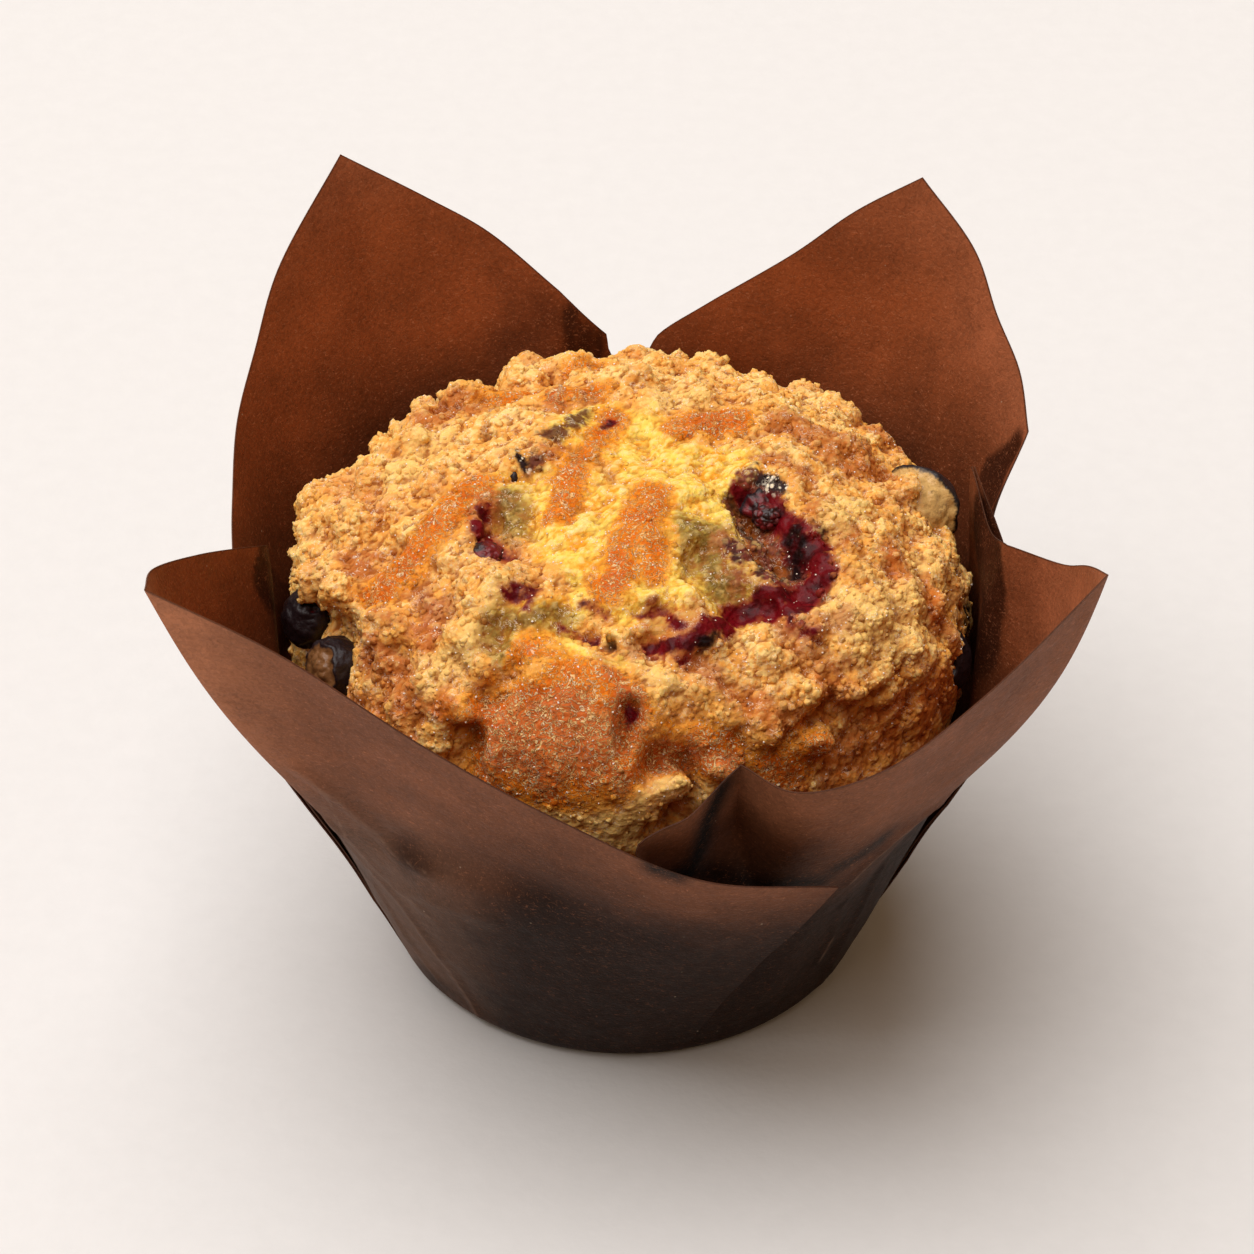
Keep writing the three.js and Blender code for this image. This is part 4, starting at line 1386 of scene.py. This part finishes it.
    # scraps of berry skin, then painted highlights: bright curls and glints
    patched = f.blend(f.band(f.cells(0.7), 0.42, 0.26) * f.band(f.noise(1.2), 0.32, 0.46), "skin", "speck")
    f.paint(ragged("skin", 0.3, 0.8, 0.9), patched)
    curlHighlights = (1 - f.band(strands, 0.01, 0.045)) * f.band(f.noise(1.3, 2), 0.48, 0.62) * (1 - wet)
    f.paint(curlHighlights * (1 - troughShade) * 0.4, "sparkle")
    glints = (1 - f.band(f.cells(0.8), 0.05, 0.12)) * f.band(f.noise(2.2), 0.38, 0.56)
    f.paint(glints * (0.7 - 0.5 * wet), "sparkle")

    f.feed("Base Color", f.base)
    f.feed("Roughness", 0.62 + 0.3 * (fine - 0.5) - 0.1 * wet)
    f.feed("Coat Weight", 0.03 + 0.09 * wet + 0.06 * troughShade + 0.35 * glazed)
    grain = f.bump(f.noise(0.25, 2), 0.09, f.bump(f.cells(0.6), 0.16))
    f.feed("Normal", f.bump(wormy, 0.28, grain))
    return f.material


# Berries. aim is where the split skin opens, open how much of the berry it bares, dent how deep that has
# sunk, shrink the dried size against the whole berry, bloom how grey the skin is, and flesh 0 for crimson
# pulp, 0.5 for amber and 1 for pale.
berries = {
    "crater": {
        "aim": (0.2, -0.75, 0.3), "open": 1.7, "dent": 0.5, "shrink": 0.88, "bloom": 0.08, "flesh": 0.0},
    "edge_right": {
        "aim": (-0.6, -0.8, 0.0), "open": 1.3, "dent": 0.12, "shrink": 0.97, "bloom": 0.05, "flesh": 1.0},
    "side_left": {
        "aim": (0.2, -0.5, 0.8), "open": 0.02, "dent": 0.3, "shrink": 0.94, "bloom": 0.0, "flesh": 0.0},
    "side_front": {
        "aim": (-0.75, -0.5, 0.45), "open": 0.42, "dent": 0.14, "shrink": 0.82, "bloom": 0.02,
        "flesh": 0.62},
    "side_right": {
        "aim": (-0.3, -0.6, 0.7), "open": 0.35, "dent": 0.4, "shrink": 0.98, "bloom": 0.0, "flesh": 0.1},
    "top_left": {
        "aim": (0.5, -0.6, 0.6), "open": 0.5, "dent": 0.3, "shrink": 0.86, "bloom": 0.1, "flesh": 0.2},
    "burst_left": {
        "aim": (0.4, -0.6, 0.7), "open": 1.8, "dent": 0.3, "shrink": 0.9, "bloom": 0.2, "flesh": 0.0},
}

# Shares of a berry's radius, with the size of each bump.
berryRelief = {
    "size": 0.97,
    "raggedEdge": (0.6, 0.16),
    "wrinkles": ((0.42, 0.11), (0.2, 0.06)),
    "pulp": (0.5, 0.09),
    "firmer": 0.03,           # how much less pulp stands out in pale flesh
    "lip": (0.08, 0.09),
    "split": (-0.06, 0.12),   # how the skin gives way to the pulp at the edge
}


def buildBerry(name, spec, material, seed):
    low, high = (np.array(corner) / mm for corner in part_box("berry_" + name))
    ball, sides = ballShape(5)
    size, share = berryRelief["raggedEdge"]
    facing = ball @ unit(spec["aim"]) + share * layeredNoise(ball, size, seed)
    edge = 1 - spec["open"]
    start, end = berryRelief["split"]
    opened = smoothStep(facing, edge + start, edge + end)
    folds = sum(share * (0.4 - np.abs(softNoise(ball, size, seed + number + 1)))
                for number, (size, share) in enumerate(berryRelief["wrinkles"]))
    size, share = berryRelief["pulp"]
    pulp = (share - berryRelief["firmer"] * spec["flesh"]) * (curds(ball, size, seed + 3) - 0.6)
    width, share = berryRelief["lip"]
    lip = share * np.exp(-((facing - edge) / width) ** 2)
    radius = berryRelief["size"] + folds * (1 - opened) + lip + opened * (pulp - spec["dent"])
    points = ball * (spec["shrink"] * radius)[:, None] * (high - low) / 2 + (high + low) / 2
    piece = meshFrom("berry_" + name + "_skin", points, sides, material)
    markPoints(piece.data, "opened", opened)
    for mark in ("flesh", "bloom"):
        markPoints(piece.data, mark, np.full(len(points), spec[mark]))
    return piece


berryLook = {
    "skin": (32, 19, 22),
    "bloom": (104, 98, 104),
    "pulp": (112, 14, 22),
    "pulpDark": (34, 6, 8),
    "amber": (104, 54, 24),
    "pale": (214, 172, 104),
}


def berryFinish():
    f = Finish("berry skin", berryLook, Specular_IOR_Level=0.32, Coat_Roughness=0.1)
    opened = f.mark("opened")
    flesh = f.mark("flesh")
    middle = f.noise(1.3, 3)
    fine = f.noise(0.35, 3)
    dusty = f.band(fine + 0.5 * (middle - 0.5), 0.5, 0.75) * f.mark("bloom")
    pulp = f.blend(f.band(middle, 0.4, 0.6), "pulpDark", "pulp")
    pulp = f.blend(f.band(flesh, 0.0, 0.5) * f.band(middle, 0.3, 0.5), pulp, "amber")
    pulp = f.blend(f.band(flesh, 0.5, 1.0) * f.band(middle, 0.2, 0.45), pulp, "pale")
    f.base = f.blend(dusty, "skin", "bloom")
    f.paint(f.band(opened + 0.5 * (fine - 0.5), 0.3, 0.7), pulp)
    f.feed("Base Color", f.base)
    f.feed("Roughness", 0.32 + 0.34 * fine)
    f.feed("Coat Weight", 0.12 + 0.2 * opened)
    f.feed("Normal", f.bump(f.noise(0.8, 3), 0.25, f.bump(fine, 0.08)))
    return f.material


# Crumbs and sugar that lie loose on the crust.
loose = {
    "crumbs": {"Density": 0.9, "Smallest": 0.4, "Largest": 1.2, "Bias": 2.0, "Sink": 0.15, "Seed": 31},
    "sugar": {"Density": 0.4, "Smallest": 0.1, "Largest": 0.22, "Bias": 1.8, "Sink": 0.0, "Seed": 71},
    "amber": (255, 232, 196),
    "white": (255, 255, 255),
}


def crystalFinish():
    f = Finish("sugar crystals", loose, Specular_IOR_Level=0.8)
    f.feed("Base Color", f.blend(f.noise(1.5), "amber", "white"))
    f.feed("Roughness", 0.08 + 0.2 * f.noise(0.9))
    return f.material


def looseOver(top, name, rule, kinds, where, material):
    # a copy of the crust carries the scatterer, and only what lies loose is kept
    piece = bpy.data.objects.new(name, top.data.copy())
    bpy.context.collection.objects.link(piece)
    markPoints(piece.data, "scatter", where)
    tree = scatterTree(name + " tree", False)
    scatterOn(piece, tree, Crumbs=kinds, Material=material, **rule)
    bpy.data.node_groups.remove(tree)
    print(" ", name, "has", len(piece.data.polygons), "faces")
    return piece


# Floor and light.
stage = {
    "floor": (229, 229, 229),
    "floorHeight": -0.02,     # millimetres
    "size": 4.0,
    "aim": (0, 0, 0.04),      # where both lights point
    "keyPower": 191.0,
    "keyPlace": (-0.95, 0.4, 3.9),
    "keySize": 5.0,
    "fillPower": 38.0,
    "fillPlace": (-1.6, -1.8, 3.6),
    "fillSize": 3.6,
    "world": (1.0, 0.64, 0.37),
    "worldStrength": 0.25,
}


def floorFinish():
    f = Finish("pale floor", stage, Roughness=0.85, Specular_IOR_Level=0.2)
    f.feed("Base Color", f.blend(1.0, "floor", f.grey(0.97 + 0.06 * f.noise(3, 4)), "MULTIPLY"))
    f.feed("Normal", f.bump(f.noise(1.2, 3), 0.05))
    return f.material


def addLight(name, place, size, power):
    data = bpy.data.lights.new(name, "AREA")
    data.shape = "DISK"
    data.size = size
    data.energy = power
    lamp = bpy.data.objects.new(name, data)
    lamp.location = place
    aim = np.array(stage["aim"]) - np.array(place)
    tilt = math.acos(-aim[2] / np.linalg.norm(aim))
    lamp.rotation_euler = (tilt, 0, math.atan2(aim[1], aim[0]) - math.pi / 2)
    bpy.context.collection.objects.link(lamp)


def buildStage():
    half = stage["size"] / 2 / mm
    corners = [(x * half, y * half, stage["floorHeight"]) for x, y in ((-1, -1), (1, -1), (1, 1), (-1, 1))]
    meshFrom("floor", corners, [(0, 1, 2, 3)], floorFinish())
    world = bpy.data.worlds.new("studio")
    world.use_nodes = True
    background = world.node_tree.nodes["Background"]
    background.inputs[0].default_value = (*stage["world"], 1)
    background.inputs[1].default_value = stage["worldStrength"]
    bpy.context.scene.world = world
    addLight("key", stage["keyPlace"], stage["keySize"], stage["keyPower"])
    addLight("fill", stage["fillPlace"], stage["fillSize"], stage["fillPower"])
    bpy.context.scene.view_settings.view_transform = "Standard"


def settle(piece, slotName, *nodes):
    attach(piece, "root")
    if nodes:
        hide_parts(*nodes)


def clearKinds(collection):
    for shape in list(collection.objects):
        bpy.data.meshes.remove(shape.data)
    bpy.data.collections.remove(collection)


print("camera and floor")
placeCamera()
buildStage()

print("paper case")
case = buildCase(paperFinish())
settle(case, "case_paper", "paper_case")

print("muffin")
crumbFinish = cakeFinish()
granules = crumbKinds("granule", granuleShapes(2))
top = buildTop(crumbFinish, granules)
clearKinds(granules)
shapeTop(top)

print("loose crumbs and sugar")
skin = pointsOf(top.data)
shownSkin = smoothStep(skin[:, 2], *cake["looseFrom"])
golden, sugared, juice = (np.array([d.value for d in top.data.attributes[n].data]) for n in
                          ("golden", "sugared", "juice"))
flakes = crumbKinds("flake", granuleShapes(1))
crumbs = looseOver(top, "loose_crumbs", loose["crumbs"], flakes,
                   shownSkin * (1 - golden) * (1 - sugared) * (1 - juice), crumbFinish)
clearKinds(flakes)
crystals = crumbKinds("crystal", crystalShapes())
sugar = looseOver(top, "sugar_crystals", loose["sugar"], crystals,
                  shownSkin * (0.6 + 0.4 * sugared) * (1 - 0.5 * juice), crystalFinish())
clearKinds(crystals)
addHiddenSide(top)
settle(top, "muffin_crumb", "muffin")
settle(crumbs, "muffin_crumb")
settle(sugar, "muffin_crumb")

print("berries")
skinFinish = berryFinish()
for seed, (name, spec) in enumerate(berries.items()):
    settle(buildBerry(name, spec, skinFinish, 100 + 10 * seed), "berry_skin", "berry_" + name)
